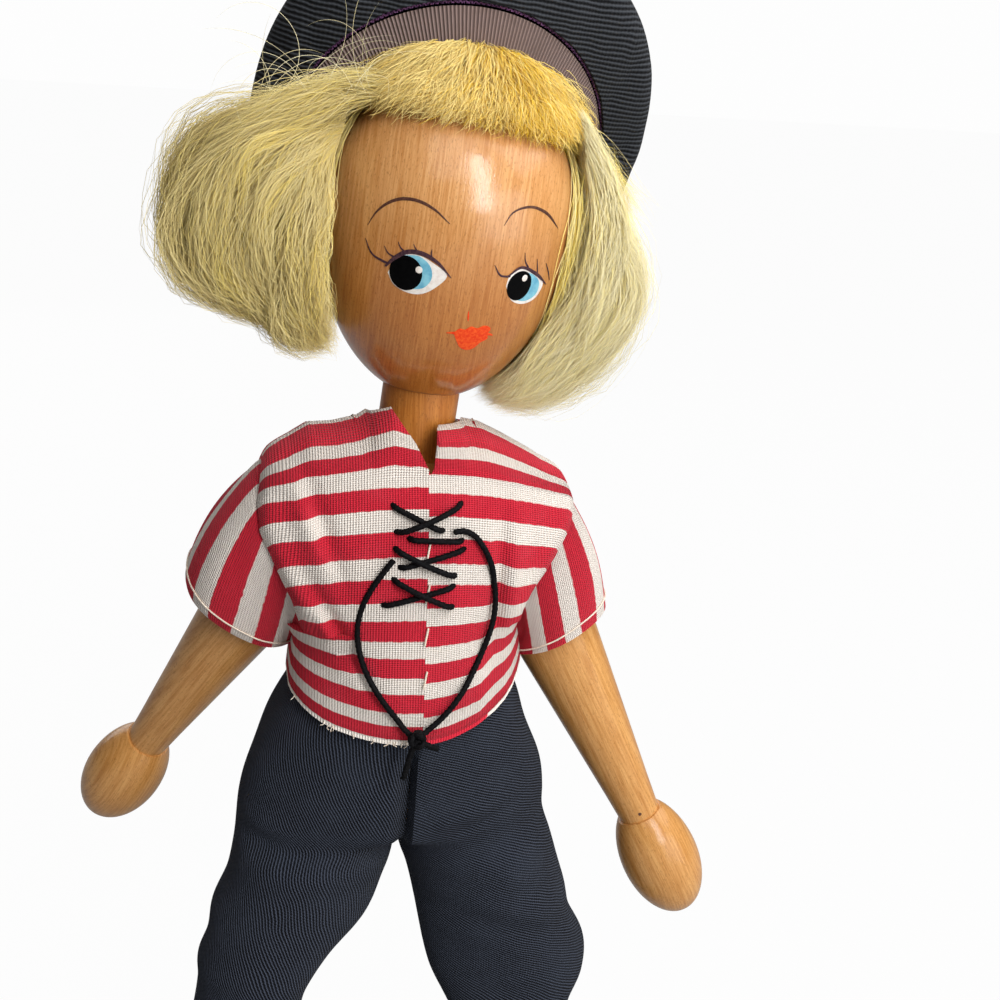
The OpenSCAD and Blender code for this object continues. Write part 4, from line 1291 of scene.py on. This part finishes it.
def wig_ring(back, grow, flare, count):
    """A ring round the wig, level with the band's plane, which flares at the crown and hardly at the nape."""
    start = BAND_AT + BAND_BACK * back
    ring = []
    for t in circle(count):
        way = math.cos(t) * ASIDE - math.sin(t) * BAND_UP
        ring.append(on_wig(start, way, grow + flare * (0.55 - 0.45 * math.sin(t))))
    return np.array(ring)


def make_beret():
    """The beret, gathered into its ribbon band."""
    count = 144
    turn = circle(count)
    opening = wig_ring(0.3, WIG_OVER + 1.2, BAND_FLARE, count)
    level, upright = boxy(turn, BERET_BOX)
    rim = (BERET_R * level)[:, None] * ASIDE - (BERET_TALL * upright)[:, None] * RIM_UP
    rings = [RIM_AT + RIM_BACK * back + rim * share for back, share in RIM_ROWS]
    first = RIM_AT + RIM_BACK * RIM_ROWS[0][0] + rim
    keys = np.array([opening, between(opening, first, 0.55)] + rings)
    spacing = np.linalg.norm(np.diff(keys, axis=0), axis=2).mean(axis=1)
    at = np.concatenate([[0], np.cumsum(spacing)])
    levels = np.linspace(0, at[-1], 64)
    gather = bump(levels, 5, 5)[:, None] * (np.sin(17 * turn) + 0.6 * np.sin(29 * turn + 1)) * 0.28
    sag = 0.5 * np.sin(3 * turn + 0.5) * bump(levels, 16, 9)[:, None]
    points = smooth(levels, at, keys) + RIM_BACK * (gather + sag)[..., None]
    across = points @ RIM_UP + 0.35 * (points @ RIM_BACK)
    cloth = columns(across, points[..., 0], 0)
    top = tuple(range((len(levels) - 1) * count, len(levels) * count))[::-1]
    faces = grid_faces(len(levels), count, wrap=True, outward=False) + [top]
    beret = settle(piece("knitted_beret", points, faces, BERET, cloth, matrix=TO_HEAD), BERET_THICK)
    dress(beret, "head", "beret_cloth", "beret_crown")
    make_band()


def make_band():
    """The ribbon band, and the picot row along its upper edge."""
    count = 200
    shares = evenly(9)
    points, cloth = [], []
    for share in shares:
        points.append(wig_ring((share - 1) * BAND_DEEP, WIG_OVER + 0.5, share * BAND_FLARE, count))
        run = np.linspace(0, BAND_RUN, count)
        cloth.append(columns(run, (share - 1) * BAND_W, 0))
    faces = grid_faces(len(shares), count, wrap=True, outward=False)
    band = settle(piece("ribbon_band", points, faces, RIBBON, cloth, matrix=TO_HEAD), RIBBON_THICK)
    dress(band, "head", "ribbon", "beret_band")
    edge = wig_ring(-0.1, WIG_OVER + 0.9, BAND_FLARE, PICOT_LOOPS)
    loop = np.linspace(0, math.pi, 6)[:, None]
    loops = []
    for point, before, after in zip(edge, np.roll(edge, 1, axis=0), np.roll(edge, -1, axis=0)):
        ahead = unit(after - before)
        out = unit(point - BAND_AT)
        up = np.cross(out, ahead)
        loops.append(point + 0.28 * ahead * np.cos(loop) + (0.3 * out + 0.15 * up) * np.sin(loop))
    form = {"lobes": 1, "depth": 0.0, "pitch": 3.0, "sides": 6, "step": 0.2}
    picot = cord_piece("picot_row", loops, PICOT_R, PICOT, crease=80, matrix=TO_HEAD, **form)
    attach(picot, "head")


# Hair, in the head's frame

HAIR_FACING = np.array([0.3, -0.7, 0.5])
# Width of a strand along its way
STRAND_TAPER = np.array([[0, 0.7], [0.1, 1], [0.75, 0.85], [1, 0.12]])
FULL_TURN = 2 * math.pi


def off_head(paths, grow):
    """Points moved sideways out of the grown head."""
    away = np.maximum(np.linalg.norm(paths[..., :2], axis=-1), 0.01)
    least = head_radius(paths[..., 2], grow)
    moved = paths.copy()
    moved[..., :2] *= np.where(away < least, least / away, 1.0)[..., None]
    return moved


def ribbons(name, paths, width, material, tone, middle, jitter, *nodes):
    """Strands as narrow ribbons that face away from the middle, more or less."""
    count, steps, _ = paths.shape
    ahead = unit(np.gradient(paths, axis=1))
    facing = 0.5 * unit(paths - np.asarray(middle)) + HAIR_FACING + jitter * rng.normal(size=(count, 1, 3))
    wide = width[:, None] * table(STRAND_TAPER, evenly(steps))
    side = unit(np.cross(ahead, facing)) * wide[..., None] / 2
    corner = np.arange(count * steps * 2).reshape(count, steps, 2)
    quads = columns(corner[:, :-1, 0], corner[:, :-1, 1], corner[:, 1:, 1], corner[:, 1:, 0])
    points = np.stack([paths - side, paths + side], axis=2)
    faces = quads.reshape(-1, 4).tolist()
    made = piece(name, points, faces, material, tone=np.repeat(tone, steps * 2), matrix=TO_HEAD)
    dress(made, "head", "mohair", *nodes)


def waves(paths, size, turns=1.6):
    """Loose waves along strands, growing towards their ends."""
    count, steps, _ = paths.shape
    t = evenly(steps)[None, :, None]
    phase = rng.uniform(0, FULL_TURN, (count, 1, 3))
    rate = rng.uniform(0.5, turns, (count, 1, 3)) * FULL_TURN
    return paths + size * (0.3 + 0.7 * t) * np.sin(rate * t + phase)


def tones_of(count, low=0.1, high=0.9):
    """Tones round the middle of a range."""
    return held(rng.normal((low + high) / 2, (high - low) / 3, count))


def bunch_paths(outer, inner, count, steps, middle_y, deep, locks=160, loose=0.06, reach=1.03):
    """Strands between an outer and an inner curve, in wavy locks that cross, and their tones."""
    lock_depth = rng.uniform(-1, 1, (locks, 1))
    lock_share = rng.uniform(0, 1, (locks, 1)) ** 0.65 * np.sqrt(1 - 0.85 * lock_depth**2)
    lock_depth = np.hstack([lock_depth, lock_depth + rng.normal(0, 0.3, (locks, 1))])
    lock_share = np.hstack([lock_share, lock_share + rng.normal(0, 0.13, (locks, 1))])
    lock_tone = rng.uniform(0.3, 0.8, locks)
    pick = rng.integers(0, locks, count)
    t = evenly(steps)
    share = lock_share[pick] + rng.normal(0, loose, (count, 2))
    depth = lock_depth[pick] + rng.normal(0, 2 * loose, (count, 2))
    share = np.clip(between(share[:, :1], share[:, 1:], t), -0.02, reach)
    depth = np.clip(between(depth[:, :1], depth[:, 1:], t), -1, 1)
    y_mid, y_half = (smooth(t, evenly(len(values)), values) for values in (middle_y, deep))
    flat = between(through(inner, steps), through(outer, steps), share[..., None])
    paths = columns(flat[..., 0], y_mid + y_half * depth, flat[..., 1])
    phase = rng.uniform(0, FULL_TURN, (locks, 1, 3))[pick]
    rate = rng.uniform(0.8, 2.0, (locks, 1, 3))[pick] * FULL_TURN
    bend = np.sin(rate * t[:, None] + phase) - np.sin(phase)
    tone = lock_tone[pick] - 0.25 * share[:, -1] + rng.normal(0.12, 0.14, count)
    return paths + 0.9 * np.minimum(1, 3 * t)[:, None] * bend, held(tone)


# Outlines of the bunches, in front of the face: distance from the middle and height
RIGHT_OUTER = [
    (-18.4, 13.4), (-21, 13.9), (-25.6, 13), (-33, 11), (-39.6, 6.8), (-42.8, -1), (-41.6, -9.5),
    (-37.2, -14.6), (-31, -16.4), (-26, -15.2),
]
RIGHT_INNER = [
    (-19.8, 7), (-20.3, 4.6), (-20.7, 2), (-20.8, -1), (-20.8, -6), (-20.4, -11), (-19.8, -15),
    (-19, -18), (-18.2, -20), (-17.4, -21),
]
RIGHT_LOCK = [
    (-19.4, 10), (-23, 7), (-26.8, 1), (-28.6, -6), (-28.6, -13), (-27, -18), (-24, -21), (-21, -21.8),
    (-18.4, -20.8),
]
LEFT_OUTER = [
    (16.5, 17.5), (20.6, 12.4), (23.6, 7.4), (26.6, 2.2), (29.6, -1.5), (32.2, -6.4), (30.8, -14),
    (27.8, -20.4), (22.6, -25.2), (17.8, -27.4), (13.4, -27.2),
]
LEFT_LOCK = [(16, 17.4), (20, 13), (22.4, 8.6), (24.2, 3), (25, -4), (24.4, -11), (22, -18), (18, -23.5)]
LEFT_INNER = [
    (17.8, 9), (18.8, 4.6), (19.3, 0), (19, -6), (18, -12), (16.4, -17), (14.6, -21), (13, -24),
    (11.6, -26.2),
]
# Places of the bunches in depth along their strands: middle and half depth, from the root to the tips
RIGHT_DEPTH = ((-3.5, -4, -3, -2, -1), (2.5, 7.5, 10, 9, 6))
LEFT_DEPTH = ((-4, -2, -1.5, 0, 0), (3, 6.5, 8.5, 8.5, 5))
LEFT_LOCK_DEPTH = ((-7, -8.5, -8.5, -6.5, -4), (3, 3.6, 3.6, 3, 3))
RIGHT_MIDDLE = (-30, -2, -3)
LEFT_MIDDLE = (23, -1, -8)
BUNCH_STEPS = 14
FLYAWAY_COUNT = 1500
FLYAWAY_STEPS = 22
# The bunches: outlines, number of strands, depth, middle, hair and the node that they show
BUNCHES = {
    "right_bunch_outer": (RIGHT_OUTER, RIGHT_INNER, 7600, RIGHT_DEPTH, RIGHT_MIDDLE, MOHAIR, "right_bunch"),
    "right_bunch_lock": (RIGHT_LOCK, RIGHT_INNER, 5200, RIGHT_DEPTH, RIGHT_MIDDLE, MOHAIR),
    # The left bunch takes the lighter copy of the mohair, as painted light.
    "left_bunch_strands": (LEFT_OUTER, LEFT_INNER, 7600, LEFT_DEPTH, LEFT_MIDDLE, PAINTED_LIT_MOHAIR, "left_bunch"),
    "left_bunch_lock": (LEFT_LOCK, LEFT_INNER, 5200, LEFT_LOCK_DEPTH, LEFT_MIDDLE, PAINTED_LIT_MOHAIR),
}
# Loose hairs round the bunches: outlines, depth, middle, how far out they stray, and hair
FLYAWAYS = {
    "right_flyaways": (RIGHT_OUTER, RIGHT_INNER, RIGHT_DEPTH, RIGHT_MIDDLE, 1.03, MOHAIR),
    "left_flyaways": (LEFT_OUTER, LEFT_INNER, LEFT_DEPTH, LEFT_MIDDLE, 1.14, PAINTED_LIT_MOHAIR),
}


def make_bunches():
    """The two bunches of hair at the sides of the face, and the hair that leads into them."""
    for name, (outer, inner, count, depth, middle, hair, *nodes) in BUNCHES.items():
        paths, tone = bunch_paths(outer, inner, count, BUNCH_STEPS, *depth)
        paths = off_head(waves(paths, 1.5, 3.0), 0.5)
        width = rng.uniform(0.05, 0.09, count)
        ribbons(name, paths, width, hair, tone, middle, 0.35, *nodes)
    count = FLYAWAY_COUNT
    for name, (outer, inner, depth, middle, stray, hair) in FLYAWAYS.items():
        paths, tone = bunch_paths(outer, inner, count, FLYAWAY_STEPS, *depth, count, 0.12, stray)
        paths = off_head(waves(paths, 1.7, 3.6), 0.6)
        width = rng.uniform(0.04, 0.07, count)
        ribbons(name, paths, width, hair, 0.5 + 0.5 * tone, middle, 0.7)
    for side, word in SIDES.items():
        make_temple(side, word)
        make_sweep(side, word)
    make_wisps()


# Hair down the edges of the face: turn at the roots, turn at the tips, both from the face backwards,
# how far it bows to the face, height of the tips, and its hair
TEMPLES = {
    # The lit left side takes the lighter copy of the mohair, as painted light.
    1: ((1.36, 1.85), (1.3, 1.75), 0.34, (-21, -8), PAINTED_LIT_STRIP_HAIR),
    -1: ((-1.58, -1.85), (-1.54, -1.8), 0.16, (-19, -9), MOHAIR),
}
TEMPLE_TOP = (8, 16.5)


def make_temple(side, word):
    """Strands from the end of the fringe down the edge of the face."""
    count = 3600
    roots, tips, bow, ends, hair = TEMPLES[side]
    mix = rng.uniform(0, 1, count)[:, None]
    t = evenly(10)
    top = rng.uniform(*TEMPLE_TOP, count)[:, None]
    height = between(top, rng.uniform(*ends, count)[:, None], t)
    turn = between(between(*roots, mix), between(*tips, mix), t) - side * bow * np.sin(math.pi * t)
    turn = turn + rng.normal(0, 0.05, (count, 1)) + rng.normal(0, 0.07, (count, 1)) * t
    puff = (0.6 + 3.6 * mix) * rng.uniform(0, 1, count)[:, None]
    grow = 0.3 + puff * np.sin(math.pi * np.minimum(0.15 + 0.75 * t, 1))
    paths = round_head(head_radius(height, 0.0) + grow, turn, height)
    paths = off_head(waves(paths, 0.6, 1.8), 0.3)
    tone = tones_of(count, 0.4, 1.0)
    ribbons(f"{word}_temple_strands", paths, rng.uniform(0.06, 0.11, count), hair, tone, (0, 0, 0), 0.35)


# Hair from the ends of the fringe into the bunches: turns and heights of the roots, two corners of the tips,
# and its hair
SWEEPS = {
    # The lit left side takes the lighter copy of the mohair, as painted light.
    1: ((1.3, 1.8), (11.5, 17), ((20.5, -12.5, -2), (25.5, -9, 5)), PAINTED_LIT_STRIP_HAIR),
    -1: ((-1.8, -0.95), (15.4, 19), ((-36, -9, 6), (-25, -8, 10)), MOHAIR),
}


def make_sweep(side, word):
    """Loose strands that run on from an end of the fringe into the bunch below it."""
    count = 1500
    turns, heights, corners, hair = SWEEPS[side]
    t = evenly(12)
    turn = rng.uniform(*turns, count)
    height = rng.uniform(*heights, count)
    radius = head_radius(height, 0.0) + rng.uniform(0.6, 3.4, count)
    root = round_head(radius, turn, height)[:, None]
    tip = between(*np.array(corners), rng.uniform(0, 1, (count, 1)))
    tip = (tip + rng.normal(0, 1.6, (count, 3)))[:, None]
    paths = between(root, tip, t[:, None])
    paths[..., 2] += rng.uniform(0.5, 3.2, (count, 1)) * np.sin(math.pi * t)
    paths = off_head(waves(paths, 0.9, 1.8), 0.9)
    tone = tones_of(count, 0.35, 0.9)
    ribbons(f"{word}_sweep", paths, rng.uniform(0.05, 0.09, count), hair, tone, (0, 0, 0), 0.4)


# Where the stray wisps stand on top of the right bunch, from its outer to its inner end
WISP_ROOTS = np.array([[-30, -6, 12.5], [-24, -8, 13.5], [-16, -11, 15.5]])
WISP_TOP = 30


def make_wisps():
    """Stray hairs that curl up from the right bunch in front of the beret."""
    count = 32
    steps = 24
    t = evenly(steps)
    place = rng.uniform(0, 1, count)
    root = np.stack([np.interp(place, [0, 0.5, 1], WISP_ROOTS[:, k]) for k in range(3)], axis=1)
    root = root + rng.normal(0, 0.8, (count, 3))
    ahead = rng.uniform(6, 22, count)[:, None] / steps
    heading = rng.uniform(0.25, 0.8, count) * math.pi
    curl = rng.choice([-1, 1], count) * rng.uniform(0.8, 3.6, count)
    angle = heading[:, None] + curl[:, None] * t
    x = root[:, :1] + np.cumsum(np.cos(angle) * ahead, axis=1)
    up = root[:, 2:] + np.cumsum(np.sin(angle) * ahead, axis=1)
    y = root[:, 1:2] + rng.normal(0, 2.5, (count, 1)) * t
    paths = off_head(columns(x, y, np.minimum(up, WISP_TOP)), 4.6)
    width = rng.uniform(0.04, 0.07, count)
    ribbons("stray_wisps", paths, width, PAINTED_LIT_MOHAIR, tones_of(count, 0.1, 0.5), (0, 10, 0), 0.5)


def band_edge(angle, grow):
    """A point under the front edge of the band, by its angle round the head."""
    way = math.sin(angle) * ASIDE + math.cos(angle) * BAND_UP
    return on_wig(BAND_AT - BAND_BACK * (BAND_DEEP - 0.6), way, grow)


# Lower edge of the fringe: turn round the head and height
FRINGE_LOW = np.array([[-1.5, 16.2], [-0.3, 16], [0.4, 15.2], [1.1, 14.4], [1.5, 14]])
# How golden the fringe is, by its turn
FRINGE_GOLD = np.array([[-1.5, 0.45], [-0.5, 0.5], [0, 0.68], [0.4, 0.84], [0.9, 0.74], [1.5, 0.62]])
FRINGE_GROW = 3.4
FRINGE_ENDS = (-1.5, 1.5)


def make_fringe():
    """The short plush fringe from the band down to the forehead."""
    count = 16000
    edge = np.array([band_edge(a, FRINGE_GROW + 1) for a in np.linspace(-1.9, 1.9, 161)])
    edge_turn = np.arctan2(edge[:, 0], -edge[:, 1])
    edge_rise = np.arcsin(np.clip(edge[:, 2] / (CROWN_H + FRINGE_GROW + 1), -1, 1)) + 0.05
    turn0 = rng.uniform(*FRINGE_ENDS, count)
    top = np.interp(turn0, edge_turn, edge_rise)
    low = np.arcsin((table(FRINGE_LOW, turn0) + rng.normal(0, 0.5, count)) / (CROWN_H + 3))
    share = rng.uniform(0.06, 1.0, count)
    root = between(low, top, share)
    tip = root - rng.uniform(0.2, 0.5, count)
    tip = np.maximum(tip, low - 0.02 - 0.1 * rng.uniform(0, 1, count) ** 5)
    t = evenly(7)
    rise = between(root[:, None], tip[:, None], t)
    turn = turn0[:, None] + (0.26 * turn0 - 0.05 + rng.normal(0, 0.14, count))[:, None] * t
    high = share > 0.8
    root_grow = np.where(high, 4.3, 0.6)[:, None]
    lift = rng.uniform(1.8, 4.2, count) - 0.9 * (share < 0.3) + 1.0 * high
    lift = lift + 2.6 * bump(turn0, 1.35, 0.25) * rng.uniform(0, 1, count)
    grow = between(root_grow, lift[:, None], np.sin(np.minimum(t * 1.3, 1) * math.pi / 2)) - 0.4 * t**2
    paths = round_head((HEAD_R + grow) * np.cos(rise), turn, (CROWN_H + grow) * np.sin(rise))
    paths = waves(paths, 0.6, 1.2)
    tone = held(table(FRINGE_GOLD, turn0) + rng.normal(0, 0.14, count))
    width = rng.uniform(0.07, 0.12, count)
    ribbons("fringe_strands", paths, width, FRINGE_HAIR, tone, (0, 0, 4), 0.4, "fringe")
    make_wig()


# The wig's base: half the turn that it leaves open for the face, its lower and upper height, its tone,
# dark as painted shade under the strands, and its thickness
WIG_OPEN = 1.42
WIG_HEIGHTS = (-17, 19)
WIG_SHADE_TONE = 0.2
WIG_THICK = 0.5


def make_wig():
    """The wig's base, and the hair on it between the band and the bunches."""
    turn = np.linspace(-math.pi, math.pi, 73)[:-1]
    turn = turn[np.abs(turn) >= WIG_OPEN]
    turn = turn[np.argsort(np.arctan2(np.sin(turn), -np.cos(turn)))]
    rows = [round_head(head_radius(h, 0.8), turn, h) for h in np.linspace(*WIG_HEIGHTS, 26)]
    faces = grid_faces(len(rows), len(turn))
    # Painted shade: the base takes a dark tone for the shade under the strands.
    tone = np.full(len(rows) * len(turn), WIG_SHADE_TONE)
    base = settle(piece("wig_base", rows, faces, MOHAIR, tone=tone, matrix=TO_HEAD), WIG_THICK)
    dress(base, "head", "mohair", "wig_cap")
    count = 5200
    angle = rng.choice([-1, 1], count) * rng.uniform(1.3, 3.1, count)
    start = np.array([band_edge(a, 0.8) for a in angle])
    turn0 = np.arctan2(start[:, 0], -start[:, 1])
    root_h = start[:, 2] + rng.uniform(-3, 0, count)
    t = evenly(8)
    h = root_h[:, None] - rng.uniform(7, 13, count)[:, None] * t
    turn = turn0[:, None] + (rng.normal(0, 0.06, count) - 0.05 * np.sign(turn0))[:, None] * t
    grow = 0.6 + rng.uniform(1.2, 3.0, count)[:, None] * np.sin(math.pi * np.minimum(t * 0.8 + 0.1, 1))
    paths = waves(round_head(head_radius(h, 0.0) + grow, turn, h), 0.6)
    ribbons("wig_strands", paths, rng.uniform(0.12, 0.18, count), MOHAIR, tones_of(count), (0, 0, 0), 0.4)


# Small sewing: hems, frayed edges and thread

# Rows of the cloth where the seam's thread shows, and each stitch's places across and up from there
SEAM_ROWS = (31.2, 24.4, 17.6, 10.6)
SEAM_STITCH = ((0.3, 1.6), (0, 0), (-0.2, -1.2))
SEAM_THREAD_R = 0.17
HEM_THREAD_R = 0.15
# Frayed threads at the hem: their number, where they start and stop across it, and their radius
FRAYS = 12
FRAY_ENDS = (-18.4, 0)
FRAY_R = 0.08


def sew(name, paths, radius, body, sides=6, **form):
    """Cream thread on the shirt."""
    made = cord_piece(name, paths, radius, CREAM_THREAD, depth=0.0, sides=sides, **form)
    dress(made, body, "striped_cotton")


def make_sewing():
    """Stitch rows at the sleeve hems, thread down the centre seam, and the raw lower edge of the shirt."""
    for side, word in SIDES.items():
        ring = np.concatenate([hem_rings[side], hem_rings[side][:1]])
        stitches = [ring[i:i + 4] for i in range(0, len(ring) - 3, 3)]
        sew(f"{word}_hem_stitches", stitches, HEM_THREAD_R, f"{word}_arm")
    frays = []
    for place in rng.uniform(*FRAY_ENDS, FRAYS):
        top = shirt_surface(place, 0.3, True)
        lean = rng.normal(0, 0.35, 2)
        end = [lean.sum(), -0.1, -0.4 - rng.uniform(0, 0.4)]
        frays.append([top + [0, -0.1, 0.3], top + [lean[0], -0.15, -0.3], top + end])
    sew("frayed_hem", frays, FRAY_R, "torso", sides=5, step=0.5)
    seam = []
    for q in SEAM_ROWS:
        seam.append([shirt_surface(SEAM_X + dx, q + dq, True) + [0, -0.2, 0] for dx, dq in SEAM_STITCH])
    sew("seam_thread", seam, SEAM_THREAD_R, "torso")


# Stage, light and camera

# Area lights: name, place in metres, width, height and power
LIGHTS = (
    ("window", (0.21, -0.53, 0.43), 0.12, 0.46, 2.6),
    ("overhead", (0.34, 0, 0.66), 0.7, 0.7, 3.4),
    ("front", (0.5, -0.55, 0.1), 0.6, 0.6, 2.5),
    ("sky", (-0.06, -0.5, 0.7), 0.5, 0.5, 1.3),
    ("back", (-0.25, 0.7, 0.42), 0.7, 0.7, 2.2),
)
LIT_POINT = Vector((0, 0, 0.14))
# How much light the surroundings give, and how bright they and the floor look to the camera
WORLD_LIGHT = 0.07
WORLD_SEEN = 0.985
FLOOR_SEEN = 0.97
FLOOR_SIZE = 12
WHITE = (1, 1, 1, 1)
# The camera's place and turns, and its focal length in pixels of a picture of that width
CAMERA_AT = Vector((-32.3, -222.1, 191)) * MM
CAMERA_YAW = math.radians(12)
CAMERA_PITCH = math.radians(16.9)
CAMERA_ROLL = math.radians(3.5)
PICTURE_PIXELS = 1000
FOCAL_PIXELS = 1450
SENSOR = 36


def make_floor():
    """A pale floor that looks white and throws little light back."""
    bpy.ops.mesh.primitive_plane_add(size=FLOOR_SIZE)
    floor = bpy.context.object
    floor.name = "floor"
    shader = Shader("pale_floor", Base_Color=(0.4, 0.4, 0.4, 1), Roughness=0.9)
    path = shader.add("LightPath").outputs
    seen = shader.math("MAXIMUM", path["Is Camera Ray"], path["Is Transmission Ray"])
    share = shader.times(seen, FLOOR_SEEN)
    glow = shader.add("Emission", {"Color": WHITE, "Strength": 1.0})
    blend = shader.add("MixShader", {0: share, 1: shader.surface.outputs[0], 2: glow.outputs[0]})
    shader.tree.links.new(blend.outputs[0], shader.tree.nodes["Material Output"].inputs["Surface"])
    floor.data.materials.append(shader.material)


def make_lights():
    """The world, white to the camera and dim to the doll, and the area lights."""
    world = bpy.data.worlds.new("studio")
    scene.world = world
    world.use_nodes = True
    tree = world.node_tree
    path = tree.nodes.new("ShaderNodeLightPath")
    strength = tree.nodes.new("ShaderNodeMapRange")
    strength.inputs[3].default_value = WORLD_LIGHT
    strength.inputs[4].default_value = WORLD_SEEN
    tree.links.new(path.outputs["Is Camera Ray"], strength.inputs[0])
    tree.nodes["Background"].inputs[0].default_value = WHITE
    tree.links.new(strength.outputs[0], tree.nodes["Background"].inputs[1])
    for name, place, wide, tall, power in LIGHTS:
        light = bpy.data.lights.new(name, "AREA")
        light.shape = "RECTANGLE"
        light.size = wide
        light.size_y = tall
        light.energy = power
        lamp = bpy.data.objects.new(name, light)
        lamp.location = place
        lamp.rotation_euler = (LIT_POINT - Vector(place)).to_track_quat("-Z", "Y").to_euler()
        scene.collection.objects.link(lamp)


def make_camera():
    """The camera at the photograph's place."""
    data = bpy.data.cameras.new("camera")
    data.sensor_width = SENSOR
    data.lens = FOCAL_PIXELS / PICTURE_PIXELS * SENSOR
    data.clip_start = 0.01
    camera = bpy.data.objects.new("camera", data)
    across, ahead_y = math.sin(CAMERA_YAW), math.cos(CAMERA_YAW)
    level_share = math.cos(CAMERA_PITCH)
    ahead = Vector((across * level_share, ahead_y * level_share, -math.sin(CAMERA_PITCH)))
    level = Vector((ahead_y, -across, 0))
    upright = level.cross(ahead)
    right = level * math.cos(CAMERA_ROLL) + upright * math.sin(CAMERA_ROLL)
    up = upright * math.cos(CAMERA_ROLL) - level * math.sin(CAMERA_ROLL)
    turn = Matrix((right, up, -ahead)).transposed().to_4x4()
    camera.matrix_world = Matrix.Translation(CAMERA_AT) @ turn
    scene.collection.objects.link(camera)
    scene.camera = camera


make_floor()
make_lights()
make_camera()
make_wood()
make_face()
make_shirt_body()
for arm_side in SIDES:
    make_sleeve(arm_side)
make_lacing()
make_sewing()
make_trousers()
make_shoes()
make_beret()
make_bunches()
make_fringe()
